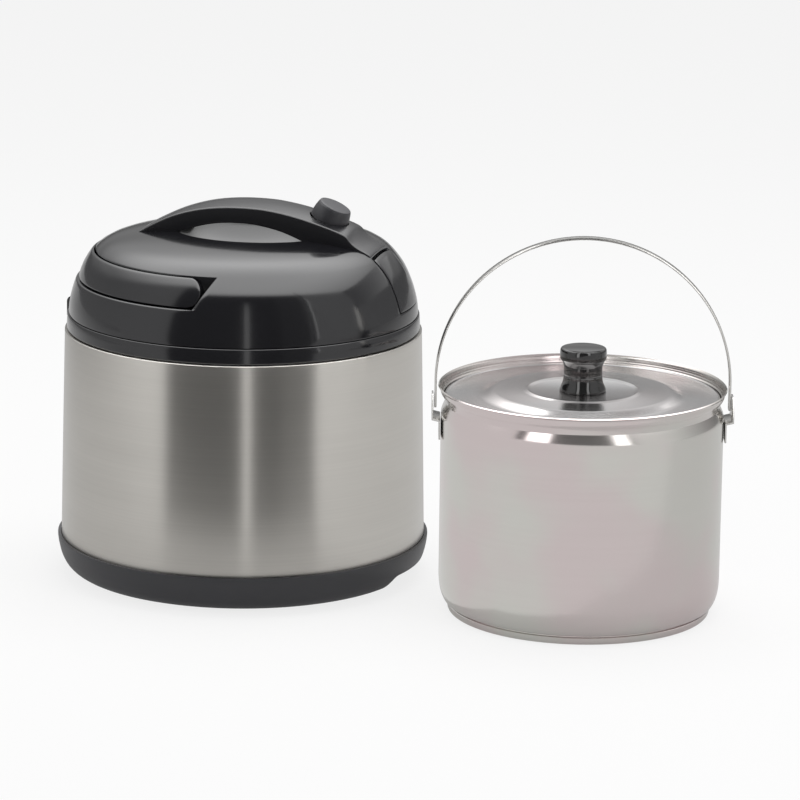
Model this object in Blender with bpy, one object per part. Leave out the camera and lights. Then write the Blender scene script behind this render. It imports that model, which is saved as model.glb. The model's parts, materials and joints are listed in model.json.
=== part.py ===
"""A thermal cooker: a vacuum insulated container with a hinged lid, and the inner pot that goes into it.

Metres, +Z up. The origin is on the floor under the middle of the whole set. +X points from the hinge
to the front latch, and the pot stands beside the front. Each piece is drawn about its container's or
pot's own axis.
"""

import math

import bmesh
import bpy
from mathutils import Matrix, Vector

for leftover in list(bpy.data.objects):
    bpy.data.objects.remove(leftover, do_unlink=True)

# Fits and facets that all pieces share
seat_gap = 0.0003
running_gap = 0.0006
pin_fit = 0.0003
overrun = 0.0040
large_steps = 48
knob_steps = 24
small_steps = 12
arc_steps = 10
corner_steps = 5

# The outer container's driving sizes
shell_bottom_radius = 0.1290
shell_taper = 0.0032
vacuum_room = 0.0083
shell_wall = 0.0010
liner_wall = 0.0008
pad_thickness = 0.0015
base_wall = 0.0022
base_height = 0.0262
shell_lift = 0.0142
shell_height = 0.1590
shoulder_rise = 0.0007
neck_rise = 0.0090
collar_height = 0.0110

# The lid's driving sizes
lid_setback = 0.0028
lid_height = 0.0586
lid_wall = 0.0024
lid_seam = 0.0006
hinge_radius = 0.0040
hinge_rise = 0.0012
grip_half_width = 0.0200

# The pot's driving sizes, and where it stands from the container
pot_radius = 0.0970
pot_height = 0.1580
pot_wall = 0.0010
pot_turn = math.radians(15.5)
pot_clearance = 0.0163
pot_aside = 0.0285

# Radii and heights that follow from them
shell_top_radius = shell_bottom_radius - shell_taper
cavity_radius = shell_top_radius - vacuum_room
lid_radius = shell_top_radius - lid_setback
base_bottom = pad_thickness + seat_gap
base_top = base_bottom + base_height
shell_bottom = base_bottom + shell_lift
shell_top = shell_bottom + shell_height
shoulder_height = shell_top + shoulder_rise
neck_top = shell_top + neck_rise
collar_bottom = shoulder_height + seat_gap
collar_top = collar_bottom + collar_height
lid_bottom = collar_top + lid_seam
lid_top = lid_bottom + lid_height
hinge_out = lid_radius
hinge_height = collar_top + hinge_rise


# Outlines: paths of (radius, height) points

def shared(inner, outer, low, high, shares):
    """Points of a profile given as shares of the way from inner to outer radius and from low to high."""
    return [(inner + (outer - inner) * across, low + (high - low) * up) for across, up in shares]


def inset(path, distance):
    """The path moved sideways, to its left for a positive distance. A point on the axis stays on it."""
    moved = []
    for index, (x, y) in enumerate(path):
        before = path[max(index - 1, 0)]
        after = path[min(index + 1, len(path) - 1)]
        sides = []
        for start, end in ((before, (x, y)), ((x, y), after)):
            run = math.hypot(end[0] - start[0], end[1] - start[1])
            if run > 0:
                sides.append(((start[1] - end[1]) / run, (end[0] - start[0]) / run))
        across = sum(side[0] for side in sides) / len(sides)
        up = sum(side[1] for side in sides) / len(sides)
        stretch = distance / (across * across + up * up)
        moved.append((0.0 if x == 0 else x + across * stretch, y + up * stretch))
    return moved


def crossing(path, given, known):
    """The other coordinate of a path, where coordinate number known first has the given value."""
    for start, end in zip(path, path[1:]):
        low, high = sorted((start[known], end[known]))
        if low <= given <= high and high > low:
            share = (given - start[known]) / (end[known] - start[known])
            return start[1 - known] + (end[1 - known] - start[1 - known]) * share
    return path[-1][1 - known]


def radius_at(path, height):
    return crossing(path, height, 1)


def height_at(path, radius):
    return crossing(path, radius, 0)


def arc(centre, radius, first, last, steps=arc_steps):
    """Points of an arc about centre, from one angle in degrees to another."""
    turns = [math.radians(first + (last - first) * step / steps) for step in range(steps + 1)]
    return [(centre[0] + radius * math.cos(turn), centre[1] + radius * math.sin(turn)) for turn in turns]


# Meshes

def closed_mesh(bm):
    bmesh.ops.recalc_face_normals(bm, faces=bm.faces)
    mesh = bpy.data.meshes.new("mesh")
    bm.to_mesh(mesh)
    bm.free()
    return mesh


def turned(outline, steps=large_steps):
    """A closed outline turned about Z. Points on the axis become poles."""
    bm = bmesh.new()
    rings = []
    for radius, height in outline:
        if radius == 0:
            rings.append([bm.verts.new((0, 0, height))])
            continue
        turns = [2 * math.pi * step / steps for step in range(steps)]
        rings.append([bm.verts.new((radius * math.cos(t), radius * math.sin(t), height)) for t in turns])
    for ring, after in zip(rings, rings[1:] + rings[:1]):
        for step in range(steps):
            corners = []
            for side, turn in ((ring, step), (ring, step + 1), (after, step + 1), (after, step)):
                corner = side[turn % len(side)]
                if corner not in corners:
                    corners.append(corner)
            if len(corners) > 2:
                bm.faces.new(corners)
    return closed_mesh(bm)


def prism(outline, low, high, along="Y"):
    """An outline drawn across the other two axes, drawn out along one of them."""
    place = {
        "X": lambda a, b, c: (c, a, b),
        "Y": lambda a, b, c: (a, c, b),
        "Z": lambda a, b, c: (a, b, c),
    }[along]
    bm = bmesh.new()
    near = [bm.verts.new(place(a, b, low)) for a, b in outline]
    far = [bm.verts.new(place(a, b, high)) for a, b in outline]
    bm.faces.new(near)
    bm.faces.new(far)
    for index in range(len(outline)):
        after = (index + 1) % len(outline)
        bm.faces.new((near[index], near[after], far[after], far[index]))
    return closed_mesh(bm)


def block(x_range, y_range, z_range):
    near, far = x_range
    low, high = z_range
    return prism([(near, low), (far, low), (far, high), (near, high)], *y_range)


def rod(start, end, radius, steps=small_steps, head=None):
    """A round bar, with a wider head (radius, thickness) at its start."""
    start, end = Vector(start), Vector(end)
    length = (end - start).length
    outline = [(radius, 0), (radius, length), (0, length)]
    if head:
        wide, thick = head
        outline = [(wide, 0), (wide, thick), (radius, thick), (radius, length), (0, length)]
    mesh = turned([(0, 0)] + outline, steps)
    turn = Vector((0, 0, 1)).rotation_difference(end - start).to_matrix().to_4x4()
    mesh.transform(Matrix.Translation(start) @ turn)
    return mesh


def cross_rod(x, height, reach, radius):
    """A round bar along Y, as far to each side of the middle."""
    return rod((x, -reach, height), (x, reach, height), radius)


def together(*meshes):
    """Several closed shapes in one mesh, used only to cut or to add."""
    bm = bmesh.new()
    for mesh in meshes:
        bm.from_mesh(mesh)
    joined = bpy.data.meshes.new("mesh")
    bm.to_mesh(joined)
    bm.free()
    return joined


# Objects

def finish(name, colour, roughness, metallic):
    made = bpy.data.materials.new(name)
    made.use_nodes = True
    shader = made.node_tree.nodes["Principled BSDF"]
    shader.inputs["Base Color"].default_value = (*colour, 1.0)
    shader.inputs["Roughness"].default_value = roughness
    shader.inputs["Metallic"].default_value = metallic
    return made


gloss_black = finish("gloss_black_plastic", (0.018, 0.018, 0.021), 0.16, 0.0)
matte_black = finish("matte_black_plastic", (0.030, 0.030, 0.034), 0.45, 0.0)
brushed = finish("brushed_steel", (0.62, 0.60, 0.57), 0.34, 1.0)
polished = finish("polished_steel", (0.70, 0.68, 0.66), 0.12, 1.0)
zinc = finish("zinc_plated_steel", (0.55, 0.55, 0.56), 0.35, 1.0)
rubber = finish("black_rubber", (0.020, 0.020, 0.020), 0.80, 0.0)
silicone = finish("grey_silicone", (0.42, 0.42, 0.42), 0.60, 0.0)
foam = finish("white_foam", (0.82, 0.80, 0.74), 0.90, 0.0)
nylon = finish("natural_nylon", (0.70, 0.68, 0.62), 0.50, 0.0)


def carrier(name, home, parent=None, place=(0, 0, 0), turn=0.0):
    """An empty that carries pieces. home is its place in the coordinates that its pieces are drawn in."""
    empty = bpy.data.objects.new(name, None)
    bpy.context.collection.objects.link(empty)
    empty.parent = parent[0] if parent else None
    empty.location = Vector(home) - Vector(parent[1]) if parent else Vector(place)
    empty.rotation_euler = (0, 0, turn)
    return empty, Vector(home)


def piece(name, mesh, carried_by, look):
    made = bpy.data.objects.new(name, mesh)
    bpy.context.collection.objects.link(made)
    made.parent = carried_by[0]
    made.location = -carried_by[1]
    mesh.materials.clear()
    mesh.materials.append(look)
    mesh.shade_smooth()
    mesh.set_sharp_from_angle(angle=math.radians(28))
    return made


def tool(name, mesh, carried_by):
    """A shape that cuts, adds or trims, and is no piece itself."""
    made = bpy.data.objects.new(name, mesh)
    bpy.context.collection.objects.link(made)
    made.parent = carried_by[0]
    made.location = -carried_by[1]
    made.hide_render = True
    made.display_type = "WIRE"
    return made


def change(target, by, how="DIFFERENCE"):
    step = target.modifiers.new(by.name, "BOOLEAN")
    step.operation = how
    step.object = by
    step.solver = "EXACT"
    return target


# Where the container and the pot stand, and the joint axes

base_radius = shell_bottom_radius + seat_gap + base_wall
pot_rim_overhang = 0.0020
pot_rim_radius = pot_radius + pot_rim_overhang
ear_standoff = 0.0052
ear_thickness = 0.0012
ear_half_width = 0.0130
bail_peen_radius = 0.0032
peen_thickness = 0.0013
ear_outer = pot_radius + ear_standoff + ear_thickness
bail_end_reach = ear_outer + seat_gap + peen_thickness
end_ahead = bail_end_reach * math.cos(pot_turn) + bail_peen_radius * math.sin(pot_turn)
ear_ahead = ear_outer * math.cos(pot_turn) + ear_half_width * math.sin(pot_turn)
pot_ahead = base_radius + bail_end_reach + pot_clearance
set_ahead = pot_ahead + max(end_ahead, ear_ahead)
set_back = max(base_radius, hinge_out + hinge_radius)
container_x = (set_back - set_ahead) / 2
container_y = (max(base_radius, pot_aside + pot_rim_radius) - base_radius) / 2

recess_rise = 0.0240
recess_height = 0.0207
band_gap = 0.0009
recess_ledge = lid_bottom + recess_rise
recess_top = recess_ledge + recess_height
band_bottom = recess_ledge + band_gap
band_top = recess_top - band_gap
carry_x = -0.0050
carry_height = (band_bottom + band_top) / 2

grip_rear_inset = 0.0460
grip_front_inset = 0.0250
grip_foot_drop = 0.0262
grip_crown_rise = 0.0198
grip_rear = grip_rear_inset - lid_radius
grip_front = lid_radius - grip_front_inset
grip_foot = lid_top - grip_foot_drop
grip_crown = lid_top + grip_crown_rise
grip_top_shares = (
    (0, 0.391), (0.040, 0.548), (0.109, 0.700), (0.194, 0.843), (0.297, 0.948), (0.411, 0.998),
    (0.531, 1), (0.634, 0.959), (0.726, 0.891), (0.829, 0.787), (0.891, 0.704), (0.914, 0.617),
    (0.934, 0.543), (0.957, 0.478), (0.983, 0.426), (1, 0.387),
)
grip_top = shared(grip_rear, grip_front, grip_foot, grip_crown, grip_top_shares)
button_share = 0.7983
button_x = grip_rear + (grip_front - grip_rear) * button_share
button_height = height_at(grip_top, button_x)
button_tilt = math.radians(25)

latch_inset = 0.0103
latch_rise = 0.0124
latch_x = lid_radius - latch_inset
latch_height = lid_bottom + latch_rise

bail_pivot_drop = 0.0115
pot_lid_drop = 0.0072
bail_pivot_height = pot_height - bail_pivot_drop
pot_lid_seat = pot_height - pot_lid_drop

container = carrier("container", (0, 0, 0), place=(container_x, container_y, 0))
lid = carrier("lid_hinge_axis", (-hinge_out, 0, hinge_height), container)
carry = carrier("carry_handle_axis", (carry_x, 0, carry_height), lid)
button = carrier("button_axis", (button_x, 0, button_height), lid)
latch = carrier("latch_axis", (latch_x, 0, latch_height), lid)
pot_place = (container_x + pot_ahead, container_y - pot_aside, 0)
pot = carrier("pot", (0, 0, 0), place=pot_place, turn=pot_turn)
bail_axis = carrier("bail_axis", (0, 0, bail_pivot_height), pot)
pot_lid_axis = carrier("pot_lid_axis", (0, 0, pot_lid_seat), pot)


# Base cover with its front grip notch

base_edge_run = 0.0195
base_flat_radius = base_radius - base_edge_run
base_edge_shares = ((0, 0), (0.40, 0.07), (0.68, 0.22), (0.86, 0.45), (0.96, 0.72), (1, 0.92), (1, 1))
notch_half_width = 0.0390
notch_height = 0.0130
notch_depth = 0.0215
notch_back = base_radius - notch_depth
notch_corner = 0.0080


def base_cover():
    edge = [(0, base_bottom)]
    edge += shared(base_flat_radius, base_radius, base_bottom, base_top, base_edge_shares)
    cover = piece("base_cover", turned(edge + [(0, base_top)]), container, matte_black)
    inner = inset(edge, base_wall)
    inner[-1] = (inner[-1][0], base_top + overrun)
    hollow = tool("base_hollow", turned(inner + [(0, base_top + overrun)]), container)
    far = base_radius + overrun
    wide = notch_half_width + base_wall
    pocket = block((notch_back - base_wall, far), (-wide, wide), (-overrun, notch_height + base_wall))
    change(hollow, tool("notch_walls", pocket, container))
    corner_out = notch_half_width - notch_corner
    corner_up = notch_height - notch_corner
    opening = [
        *arc((corner_out, corner_up), notch_corner, 0, 90, corner_steps),
        *arc((-corner_out, corner_up), notch_corner, 90, 180, corner_steps),
        (-notch_half_width, -overrun),
        (notch_half_width, -overrun),
    ]
    change(cover, hollow)
    change(cover, tool("notch", prism(opening, notch_back, far, "X"), container))


base_cover()


# Foot pads under the base cover

pad_radius = 0.0090
pad_inset = 0.0170


def four_round(radius):
    """Four places on a circle, between the X and Y axes."""
    turns = [math.radians(45 + 90 * number) for number in range(4)]
    return [(radius * math.cos(turn), radius * math.sin(turn)) for turn in turns]


for number, (x, y) in enumerate(four_round(base_flat_radius - pad_inset)):
    piece(f"foot_pad_{number + 1}", rod((x, y, 0), (x, y, pad_thickness), pad_radius), container, rubber)


# Vacuum vessel: outer shell, liner and the cap over its pump-out point

shell_corner_run = 0.0150
shell_floor_radius = shell_bottom_radius - shell_corner_run
shell_corner_shares = ((0, 0), (0.55, 0.18), (0.88, 0.52), (1, 1))
shell_corner_height = 0.0125
liner_outer_radius = cavity_radius + liner_wall
neck_outer_radius = liner_outer_radius + seat_gap + shell_wall
liner_lift = 0.0080
liner_bottom = shell_bottom + liner_lift
liner_corner_run = 0.0133
liner_floor_radius = liner_outer_radius - liner_corner_run
liner_corner_height = 0.0120
cap_radius = 0.0100
cap_thickness = 0.0020


def wall_of(path, wall):
    """The closed outline of a sheet wall along a path, with its thickness to the path's left."""
    return path + list(reversed(inset(path, wall)))


def vacuum_vessel():
    bend_top = shell_bottom + shell_corner_height
    outer = [(0, shell_bottom)]
    outer += shared(shell_floor_radius, shell_bottom_radius, shell_bottom, bend_top, shell_corner_shares)
    outer += [(shell_top_radius, shell_top), (neck_outer_radius, shoulder_height)]
    outer += [(neck_outer_radius, neck_top)]
    piece("outer_shell", turned(wall_of(outer, shell_wall)), container, brushed)
    bend_top = liner_bottom + liner_corner_height
    inner = [(0, liner_bottom)]
    inner += shared(liner_floor_radius, liner_outer_radius, liner_bottom, bend_top, shell_corner_shares)
    inner += [(liner_outer_radius, neck_top)]
    piece("inner_liner", turned(wall_of(inner, liner_wall)), container, polished)
    top = shell_bottom - seat_gap
    cap = rod((0, 0, top), (0, 0, top - cap_thickness), cap_radius)
    piece("vacuum_seal_cap", cap, container, zinc)


vacuum_vessel()


# Collar round the mouth, with the body half of the hinge

collar_proud = 0.0010
collar_flare = 0.0005
collar_round = 0.0018
collar_top_radius = lid_radius + collar_proud
collar_bottom_radius = collar_top_radius + collar_flare
mouth_lip = 0.0015
mouth_radius = cavity_radius - mouth_lip
collar_lip_depth = 0.0095
collar_lip_bottom = collar_top - collar_lip_depth
hinge_half_width = 0.0150
hinge_side_gap = 0.0015
hinge_notch_depth = 0.0044
hinge_notch_inner = hinge_out - hinge_notch_depth
hinge_notch_drop = 0.0070
hinge_notch_floor = collar_top - hinge_notch_drop
bridge_thickness = 0.0035
arm_half_width = 0.0079
pin_radius = 0.0015


def collar():
    leg_inner = neck_outer_radius + running_gap
    channel_top = neck_top + seat_gap
    lip_outer = cavity_radius - seat_gap
    outline = [
        (leg_inner, collar_bottom),
        (collar_bottom_radius - collar_round, collar_bottom),
        (collar_bottom_radius, collar_bottom + collar_round),
        (collar_top_radius, collar_top),
        (mouth_radius, collar_top),
        (mouth_radius, collar_lip_bottom),
        (lip_outer, collar_lip_bottom),
        (lip_outer, channel_top),
        (leg_inner, channel_top),
    ]
    ring = piece("collar", turned(outline), container, gloss_black)
    half = hinge_half_width + hinge_side_gap
    far = hinge_out + hinge_radius + overrun
    notch = block((-far, -hinge_notch_inner), (-half, half), (hinge_notch_floor, collar_top + overrun))
    change(ring, tool("collar_hinge_notch", notch, container))
    low = hinge_notch_floor - bridge_thickness / 2
    turn = math.degrees(math.acos((hinge_out - leg_inner) / hinge_radius))
    knuckle_side = [
        (-hinge_out - hinge_radius, low),
        (-leg_inner, low),
        *arc((-hinge_out, hinge_height), hinge_radius, -turn, 180),
    ]
    knuckles = prism(knuckle_side, -hinge_half_width, hinge_half_width)
    bracket = tool("hinge_bracket", knuckles, container)
    gap = arm_half_width + pin_fit
    bridge_top = hinge_notch_floor + bridge_thickness
    middle = block((-far, -hinge_out + far), (-gap, gap), (bridge_top, collar_top + far))
    change(bracket, tool("bracket_gap", middle, container))
    change(ring, bracket, "UNION")
    bore = cross_rod(-hinge_out, hinge_height, half, pin_radius + pin_fit)
    change(ring, tool("collar_pin_bore", bore, container))
    pin = cross_rod(-hinge_out, hinge_height, hinge_half_width - pin_fit, pin_radius)
    piece("hinge_pin", pin, container, zinc)


collar()


# Keeper that the lid's latch catches, on the collar's front

keeper_half_width = 0.0080
keeper_margin = 0.0009
keeper_depth = 0.0023
keeper_rise = 0.0070
keeper_thickness = 0.0012
keeper_inner = mouth_radius + keeper_margin
keeper_outer = keeper_inner + keeper_depth
keeper_top = collar_top + keeper_rise


def keeper():
    foot = collar_top + seat_gap
    web = keeper_outer - keeper_thickness
    side = [
        (keeper_inner, foot),
        (keeper_outer, foot),
        (keeper_outer, keeper_top),
        (keeper_inner, keeper_top),
        (keeper_inner, keeper_top - keeper_thickness),
        (web, keeper_top - keeper_thickness),
        (web, foot + keeper_thickness),
        (keeper_inner, foot + keeper_thickness),
    ]
    piece("latch_keeper", prism(side, -keeper_half_width, keeper_half_width), container, zinc)


keeper()


# Lid shell: dome, carry handle recess, finger well, latch cover pocket

lid_shares = (
    (1, 0), (0.996, 0.109), (0.982, 0.246), (0.956, 0.41), (0.915, 0.587), (0.847, 0.763),
    (0.780, 0.857), (0.683, 0.915), (0.537, 0.959), (0.325, 0.991), (0, 1),
)
lid_path = shared(0, lid_radius, lid_bottom, lid_top, lid_shares)
recess_set_in = 0.0002
recess_steps = 62
recess_radius = radius_at(lid_path, recess_top) - recess_set_in
recess_end_low = 0.0004
recess_end_high = 0.0138
well_rise = 0.0038
well_half_width = 0.0440
well_depth = 0.0260
arch_rear_share = 0.154
arch_front_share = 0.760
well_ahead = 0.0015
arch_rear = grip_rear + (grip_front - grip_rear) * arch_rear_share
arch_front = grip_rear + (grip_front - grip_rear) * arch_front_share
well_x = (arch_rear + arch_front) / 2 + well_ahead
well_size = ((arch_front - arch_rear) / 2, well_half_width, well_depth)
well_turns = 24
well_rings = 14
pocket_side_gap = 0.0004
pocket_half_width = grip_half_width + pocket_side_gap
pocket_rise = 0.0096
pocket_bottom = lid_bottom + pocket_rise
pocket_run = 0.0241
pocket_top_x = lid_radius - pocket_run
pocket_depth = 0.0030
boss_radius = 0.0034
boss_skin = 0.0006
boss_rise = 0.0184
boss_top = lid_bottom + boss_rise
boss_circle_radius = radius_at(lid_path, boss_top) - boss_skin - boss_radius
flange_rise = 0.0019
flange_thickness = 0.0020
flange_bottom = lid_bottom + flange_rise
flange_top = flange_bottom + flange_thickness
screw_radius = 0.0013
screw_head_radius = 0.0024
screw_head_thickness = 0.0014
screw_length = 0.0120
ear_half_gap = 0.0085
latch_ear_thickness = 0.0025
latch_ear_reach = 0.0023
latch_pin_radius = 0.0010
carry_pin_radius = 0.0020
grip_screw_shares = (0.0914, 0.8914)
grip_screw_x = [grip_rear + (grip_front - grip_rear) * share for share in grip_screw_shares]


def solid_below(path, foot):
    """A turned solid under a falling path, with its outer wall carried straight down to a foot."""
    return turned([(path[0][0], foot)] + path[1:] + [(0, foot)])


def recess_tool(name, wall):
    """The space of the carry handle's recess, grown by a wall: behind slanted ends, outside a cylinder."""
    far = lid_radius + overrun
    slope = (recess_end_high - recess_end_low) / recess_height
    low = recess_ledge - wall
    low_x = recess_end_low + wall - slope * wall
    high_x = recess_end_high + wall + slope * (lid_top - recess_top)
    side = [(-far, low), (low_x, low), (high_x, lid_top), (-far, lid_top)]
    space = tool(name, prism(side, -far, far), lid)
    core = rod((0, 0, low - overrun), (0, 0, lid_top + overrun), recess_radius - wall, recess_steps)
    return change(space, tool(name + "_core", core, lid))


def well_tool(name, wall):
    """The finger well's ellipsoid, grown by a wall."""
    bm = bmesh.new()
    bmesh.ops.create_uvsphere(bm, u_segments=well_turns, v_segments=well_rings, radius=1)
    mesh = closed_mesh(bm)
    size = [length + wall for length in well_size]
    mesh.transform(Matrix.Translation((well_x, 0, lid_top + well_rise)) @ Matrix.Diagonal((*size, 1)))
    return tool(name, mesh, lid)


def pocket_tool(name, wall):
    """The pocket of the latch cover, grown by a wall."""
    half = pocket_half_width + wall
    far = lid_radius + overrun
    space = block((pocket_top_x - wall, far), (-half, half), (pocket_bottom - wall, lid_top))
    core = solid_below(inset(lid_path, pocket_depth + wall), lid_bottom - overrun)
    return change(tool(name, space, lid), tool(name + "_core", core, lid))


def lid_shell():
    shell = piece("lid_shell", turned(lid_path + [(0, lid_bottom)]), lid, gloss_black)
    hollow = tool("lid_hollow", solid_below(inset(lid_path, lid_wall), lid_bottom - overrun), lid)
    change(hollow, recess_tool("recess_wall", lid_wall))
    change(hollow, well_tool("well_wall", lid_wall))
    change(hollow, pocket_tool("pocket_wall", lid_wall))
    change(shell, hollow)
    change(shell, recess_tool("recess", 0))
    change(shell, well_tool("well", 0))
    change(shell, pocket_tool("pocket", 0))
    half = hinge_half_width + hinge_side_gap
    far = hinge_out + hinge_radius + overrun
    notch_top = hinge_height + hinge_radius + hinge_side_gap
    notch = block((-far, -hinge_notch_inner), (-half, half), (lid_bottom - overrun, notch_top))
    change(shell, tool("lid_hinge_notch", notch, lid))
    low = flange_top + seat_gap
    places = four_round(boss_circle_radius)
    bosses = together(*[rod((x, y, low), (x, y, boss_top), boss_radius) for x, y in places])
    change(shell, tool("lid_bosses", bosses, lid), "UNION")
    shank = screw_radius + seat_gap
    deep = flange_bottom + screw_length
    holes = together(*[rod((x, y, lid_bottom), (x, y, deep), shank) for x, y in places])
    change(shell, tool("boss_holes", holes, lid))
    outer = ear_half_gap + latch_ear_thickness
    ear_x = (latch_x - latch_ear_reach, latch_x + overrun)
    ear_z = (latch_height - latch_ear_reach, latch_height + latch_ear_reach)
    ears = [block(ear_x, side, ear_z) for side in ((ear_half_gap, outer), (-outer, -ear_half_gap))]
    ear_tool = tool("latch_ears", together(*ears), lid)
    trim = solid_below(inset(lid_path, pocket_depth + lid_wall / 2), lid_bottom)
    change(ear_tool, tool("ear_trim", trim, lid), "INTERSECT")
    change(shell, ear_tool, "UNION")
    latch_bore = cross_rod(latch_x, latch_height, outer + seat_gap, latch_pin_radius + pin_fit)
    change(shell, tool("latch_pin_bore", latch_bore, lid))
    carry_bore = cross_rod(carry_x, carry_height, far, carry_pin_radius + pin_fit)
    change(shell, tool("carry_bore", carry_bore, lid))
    bolts = [rod((x, 0, lid_bottom), (x, 0, lid_top), shank) for x in grip_screw_x]
    change(shell, tool("grip_screw_bores", together(*bolts), lid))


lid_shell()


# Arched grip, one moulding screwed on from inside the lid

grip_under_shares = (
    (1, 0), (arch_front_share, 0), (arch_front_share, 0.435), (0.700, 0.545), (0.615, 0.657),
    (0.509, 0.727), (0.414, 0.729), (0.331, 0.690), (0.246, 0.604), (0.186, 0.523),
    (arch_rear_share, 0.435), (arch_rear_share, 0), (0, 0),
)
knob_radius = 0.0134
knob_pocket_gap = 0.0007
knob_pocket_depth = 0.0070
knob_sink = 0.0016
knob_height = 0.0122
knob_wall = 0.0020
knob_taper = 0.0020
knob_crown_radius = knob_radius - knob_taper
knob_dome = 0.0022
knob_dome_shares = ((0.948, 0), (0.85, 0.5), (0.5, 0.875), (0, 1))
stem_radius = 0.0035
stem_hole_depth = 0.0150
button_travel = 0.0040


def along_button(mesh):
    """Moves a mesh drawn on Z, with zero at the grip's surface, to the button's tilted axis."""
    tilt = Matrix.Rotation(button_tilt, 4, "Y")
    mesh.transform(Matrix.Translation((button_x, 0, button_height)) @ tilt)
    return mesh


def lid_grip():
    side = grip_top + shared(grip_rear, grip_front, grip_foot, grip_crown, grip_under_shares)
    grip = piece("lid_handle", prism(side, -grip_half_width, grip_half_width), lid, matte_black)
    change(grip, tool("grip_bed", solid_below(inset(lid_path, -seat_gap), lid_bottom), lid))
    pocket = rod((0, 0, -knob_pocket_depth), (0, 0, knob_height), knob_radius + knob_pocket_gap, knob_steps)
    hole = rod((0, 0, -stem_hole_depth), (0, 0, 0), stem_radius + pin_fit)
    change(grip, tool("knob_pocket", along_button(pocket), lid))
    change(grip, tool("stem_hole", along_button(hole), lid))
    high = lid_top + seat_gap
    bores = [rod((x, 0, lid_bottom), (x, 0, high), screw_radius + seat_gap) for x in grip_screw_x]
    change(grip, tool("grip_bores", together(*bores), lid))
    head = (screw_head_radius, screw_head_thickness)
    for number, x in enumerate(grip_screw_x):
        low = height_at(inset(lid_path, lid_wall), abs(x)) - seat_gap - screw_head_thickness
        screw = rod((x, 0, low), (x, 0, lid_top), screw_radius, head=head)
        piece(f"grip_screw_{number + 1}", screw, lid, zinc)


lid_grip()


# Latch cover: the strip down the lid's front, over the latch

cover_proud = 0.0004
cover_thickness = 0.0026


def latch_cover():
    half = pocket_half_width - pocket_side_gap
    near = pocket_top_x + running_gap
    low = pocket_bottom + pocket_side_gap
    strip = block((near, lid_radius + overrun), (-half, half), (low, lid_top))
    cover = piece("latch_cover", strip, lid, gloss_black)
    face = solid_below(inset(lid_path, -cover_proud), lid_bottom)
    back = solid_below(inset(lid_path, cover_thickness), lid_bottom)
    change(cover, tool("cover_face", face, lid), "INTERSECT")
    change(cover, tool("cover_back", back, lid))


latch_cover()


# Lid half of the hinge, screwed to the inside of the lid's skirt

arm_plate_inset = 0.0051
arm_plate_thickness = 0.0022
arm_rise = 0.0124
arm_web_rise = 0.0020
arm_web_thickness = 0.0029
arm_eye_steps = 16
arm_screw_half_pitch = 0.0040


def hinge_arm():
    plate_outer = -(hinge_out - arm_plate_inset)
    plate_inner = plate_outer + arm_plate_thickness
    top = lid_bottom + arm_rise
    web_low = lid_bottom + arm_web_rise
    web_high = web_low + arm_web_thickness
    side = [
        *arc((-hinge_out, hinge_height), hinge_radius, 90, 380, arm_eye_steps),
        (plate_inner, web_low),
        (plate_inner, top),
        (plate_outer, top),
        (plate_outer, web_high),
    ]
    arm = piece("hinge_arm", prism(side, -arm_half_width, arm_half_width), lid, matte_black)
    bore = cross_rod(-hinge_out, hinge_height, hinge_half_width, pin_radius + pin_fit)
    change(arm, tool("arm_pin_bore", bore, lid))
    height = top - screw_head_radius - running_gap
    inner = plate_inner + seat_gap + screw_head_thickness
    for number, across in enumerate((-arm_screw_half_pitch, arm_screw_half_pitch)):
        bore = rod((inner, across, height), (-hinge_out, across, height), screw_radius + seat_gap)
        change(arm, tool(f"arm_screw_bore_{number + 1}", bore, lid))
        head = (screw_head_radius, screw_head_thickness)
        screw = rod((inner, across, height), (plate_outer, across, height), screw_radius, head=head)
        piece(f"hinge_arm_screw_{number + 1}", screw, lid, zinc)


hinge_arm()


# Inner cover, its screws, gasket and the insulation above it

ceiling_rise = 0.0204
ceiling = lid_bottom + ceiling_rise
cover_wall = 0.0018
plug_clearance = 0.0042
plug_radius = mouth_radius - plug_clearance
plug_inner_radius = plug_radius - cover_wall
ceiling_run = 0.0320
ceiling_radius = plug_inner_radius - ceiling_run
plug_drop = 0.0071
plug_bottom = lid_bottom - plug_drop
plug_shoulder_rise = 0.0024
plug_shoulder = lid_bottom + plug_shoulder_rise
ceiling_shares = ((0, 1), (0.5625, 0.806), (0.89, 0.417), (1, 0))
flange_inset = 0.0033
flange_radius = lid_radius - flange_inset
flange_notch_half_width = 0.0100
gasket_radius = mouth_radius - running_gap
gasket_rise = 0.0005
gasket_bottom = plug_bottom + gasket_rise
gasket_shares = ((0, 0), (0.5, 0), (1, 0.5), (0.5, 1), (0, 1))
foam_inset = 0.0140
foam_gap = 0.0011
foam_radius = recess_radius - foam_inset
foam_top = lid_top + well_rise - well_depth - lid_wall - foam_gap


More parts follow.
